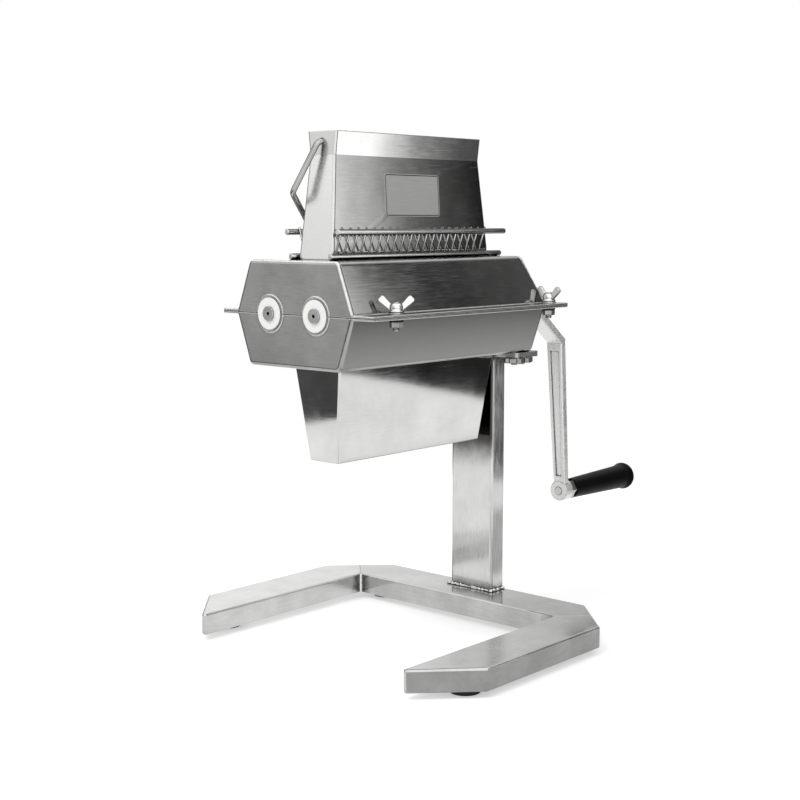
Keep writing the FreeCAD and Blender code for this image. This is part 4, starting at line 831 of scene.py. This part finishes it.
# ---------------------------------------------------------------- hood
# A square funnel of thin stainless that drops into the cover, its rim flared, its long sides
# polished and its ends satin. One faint diagonal crease keeps each long side from drumming.
hood_sheet = belted_stainless("stainless_hood_polished", (1, 0, 0), (0, 1, 0), roughness=0.065,
                              tone=("#C4C4C3", "#D8D8D7"), cut=0.003, line=0.035, cloud=0.04,
                              drawn=0.6, bend=1.3, dust_and_shade=4)
tree, shader = opened(hood_sheet)
plate_low, plate_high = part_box("hood_blank_plate")
plate_middle = (plate_low + plate_high) / 2
half_wide, half_tall = (plate_high.x - plate_low.x) / 2, (plate_high.z - plate_low.z) / 2
place = add_node(tree, "ShaderNodeTexCoord").outputs["Object"]
spot = add_node(tree, "ShaderNodeSeparateXYZ", {0: place})
from_middle = calc(tree, "SUBTRACT", spot.outputs["X"], plate_middle.x)
out = calc(tree, "ABSOLUTE", from_middle)
past = calc(tree, "SUBTRACT", out, half_wide)
crease_width = 4.5 * mm
creases = []
crease_runs = ((1, 0.235, plate_middle.z + half_tall), (-1, -0.52, plate_middle.z - half_tall))
for side, slope, start_z in crease_runs:
    line = calc(tree, "MULTIPLY_ADD", past, slope, start_z)
    gap = calc(tree, "SUBTRACT", spot.outputs["Z"], line)
    away = calc(tree, "ABSOLUTE", gap)
    fold = remap(tree, away, 0.0, crease_width, 1.0, 0.0, shape="SMOOTHERSTEP")
    on_side = calc(tree, "MULTIPLY", from_middle, side)
    there = remap(tree, on_side, 0.0, mm)
    creases.append(calc(tree, "MULTIPLY", fold, there))
crease = calc(tree, "MAXIMUM", creases[0], creases[1])
outside = remap(tree, past, -2 * mm, 4 * mm)
pressed = calc(tree, "MULTIPLY", crease, outside)
face = add_node(tree, "ShaderNodeNewGeometry").outputs["Normal"]
facing = add_node(tree, "ShaderNodeSeparateXYZ", {0: face})
endways = calc(tree, "ABSOLUTE", facing.outputs["X"])
satin_end = remap(tree, endways, 0.8, 0.9, 0.0, 0.19)
fill(shader, {"Roughness": calc(tree, "ADD", feeding(shader, "Roughness"), satin_end)})
# Painted light: the ends' colour is painted lighter than the long sides as well as being satin.
on_end = remap(tree, endways, 0.8, 0.9, 0.0, 0.8)
fill(shader, {"Base Color": blend(tree, on_end, feeding(shader, "Base Color"), "#F6F6F5")})
broken = add_node(tree, "ShaderNodeBump", {"Height": pressed, "Distance": 0.02 * mm,
                                           "Normal": feeding(shader, "Normal")})
fill(shader, {"Normal": broken})
finish(hood_sheet, "hood_shell")

# ---------------------------------------------------------------- plain plate
# A thin aluminium plate bonded to the hood's front, satin, blank, with a fine dark line around it.
plate_metal, tree, shader = new_material("aluminium_plate_satin", {"Metallic": 0.45})
place = add_node(tree, "ShaderNodeTexCoord").outputs["Object"]
centred = vector_calc(tree, "SUBTRACT", place, plate_middle)
sized = vector_calc(tree, "ABSOLUTE", centred)
plate_round = 3 * mm
inner = vector_calc(tree, "SUBTRACT", sized, (half_wide - plate_round, 1.0, half_tall - plate_round))
outer = vector_calc(tree, "MAXIMUM", inner, (0, 0, 0))
reach = vector_calc(tree, "LENGTH", outer)
line_inset = 1.1 * mm
to_line = calc(tree, "SUBTRACT", reach, plate_round - line_inset)
off_line = calc(tree, "ABSOLUTE", to_line)
border = remap(tree, off_line, 0.3 * mm, 0.5 * mm, 1.0, 0.0)
drawn_out = add_node(tree, "ShaderNodeMapping", {"Vector": place, "Scale": (0.04, 1, 1)})
satin = noise(tree, drawn_out, 0.6)
rubbed = blend(tree, satin, "#B4B4B2", "#D0D0CE")
printed = blend(tree, border, rubbed, "#3A3A39")
fill(shader, {"Base Color": printed})
shine = remap(tree, satin, *noise_span, 0.32, 0.44)
fill(shader, {"Roughness": shine})
finish(plate_metal, "hood_blank_plate")

# ---------------------------------------------------------------- bail and stripper combs
# Drawn stainless rod and spring wire, bright, with faint die lines along them. The bail is bent
# from one rod; each comb is a row of wires spot-welded behind two rods.
drawn_rod = belted_stainless("stainless_rod_drawn", (1, 0, 0), (0, 1, 0), roughness=0.12,
                             tone=("#DCDCDB", "#F0F0EF"), cut=0.004, wave=0.0, cloud=0.04, drawn=0.0,
                             bend=0.3)
dark_outline(drawn_rod, "#3A3A39")
finish(drawn_rod, "bail_washers", "front_comb_rods", "rear_comb_rods")
bail_rod = belted_stainless("stainless_bail_polished", (0, 1, 0), (1, 0, 0), roughness=0.17,
                            tone=("#ACACAB", "#BEBEBD"), cut=0.0, line=0.01, wave=0.0, cloud=0.04,
                            drawn=0.0, bend=0.3)
dark_outline(bail_rod, "#3A3A39")
finish(bail_rod, "hood_bail")
spring_wire = belted_stainless("stainless_wire_spring", (0, 0, 1), (0, 1, 0), roughness=0.12,
                               tone=("#E4E4E3", "#F6F6F5"), cut=0.002, wave=0.0, cloud=0.04, drawn=0.0,
                               bend=0.2)
dark_outline(spring_wire, "#0C0C0C", start=0.12, full=0.30)
finish(spring_wire, "front_comb_wires", "rear_comb_wires")
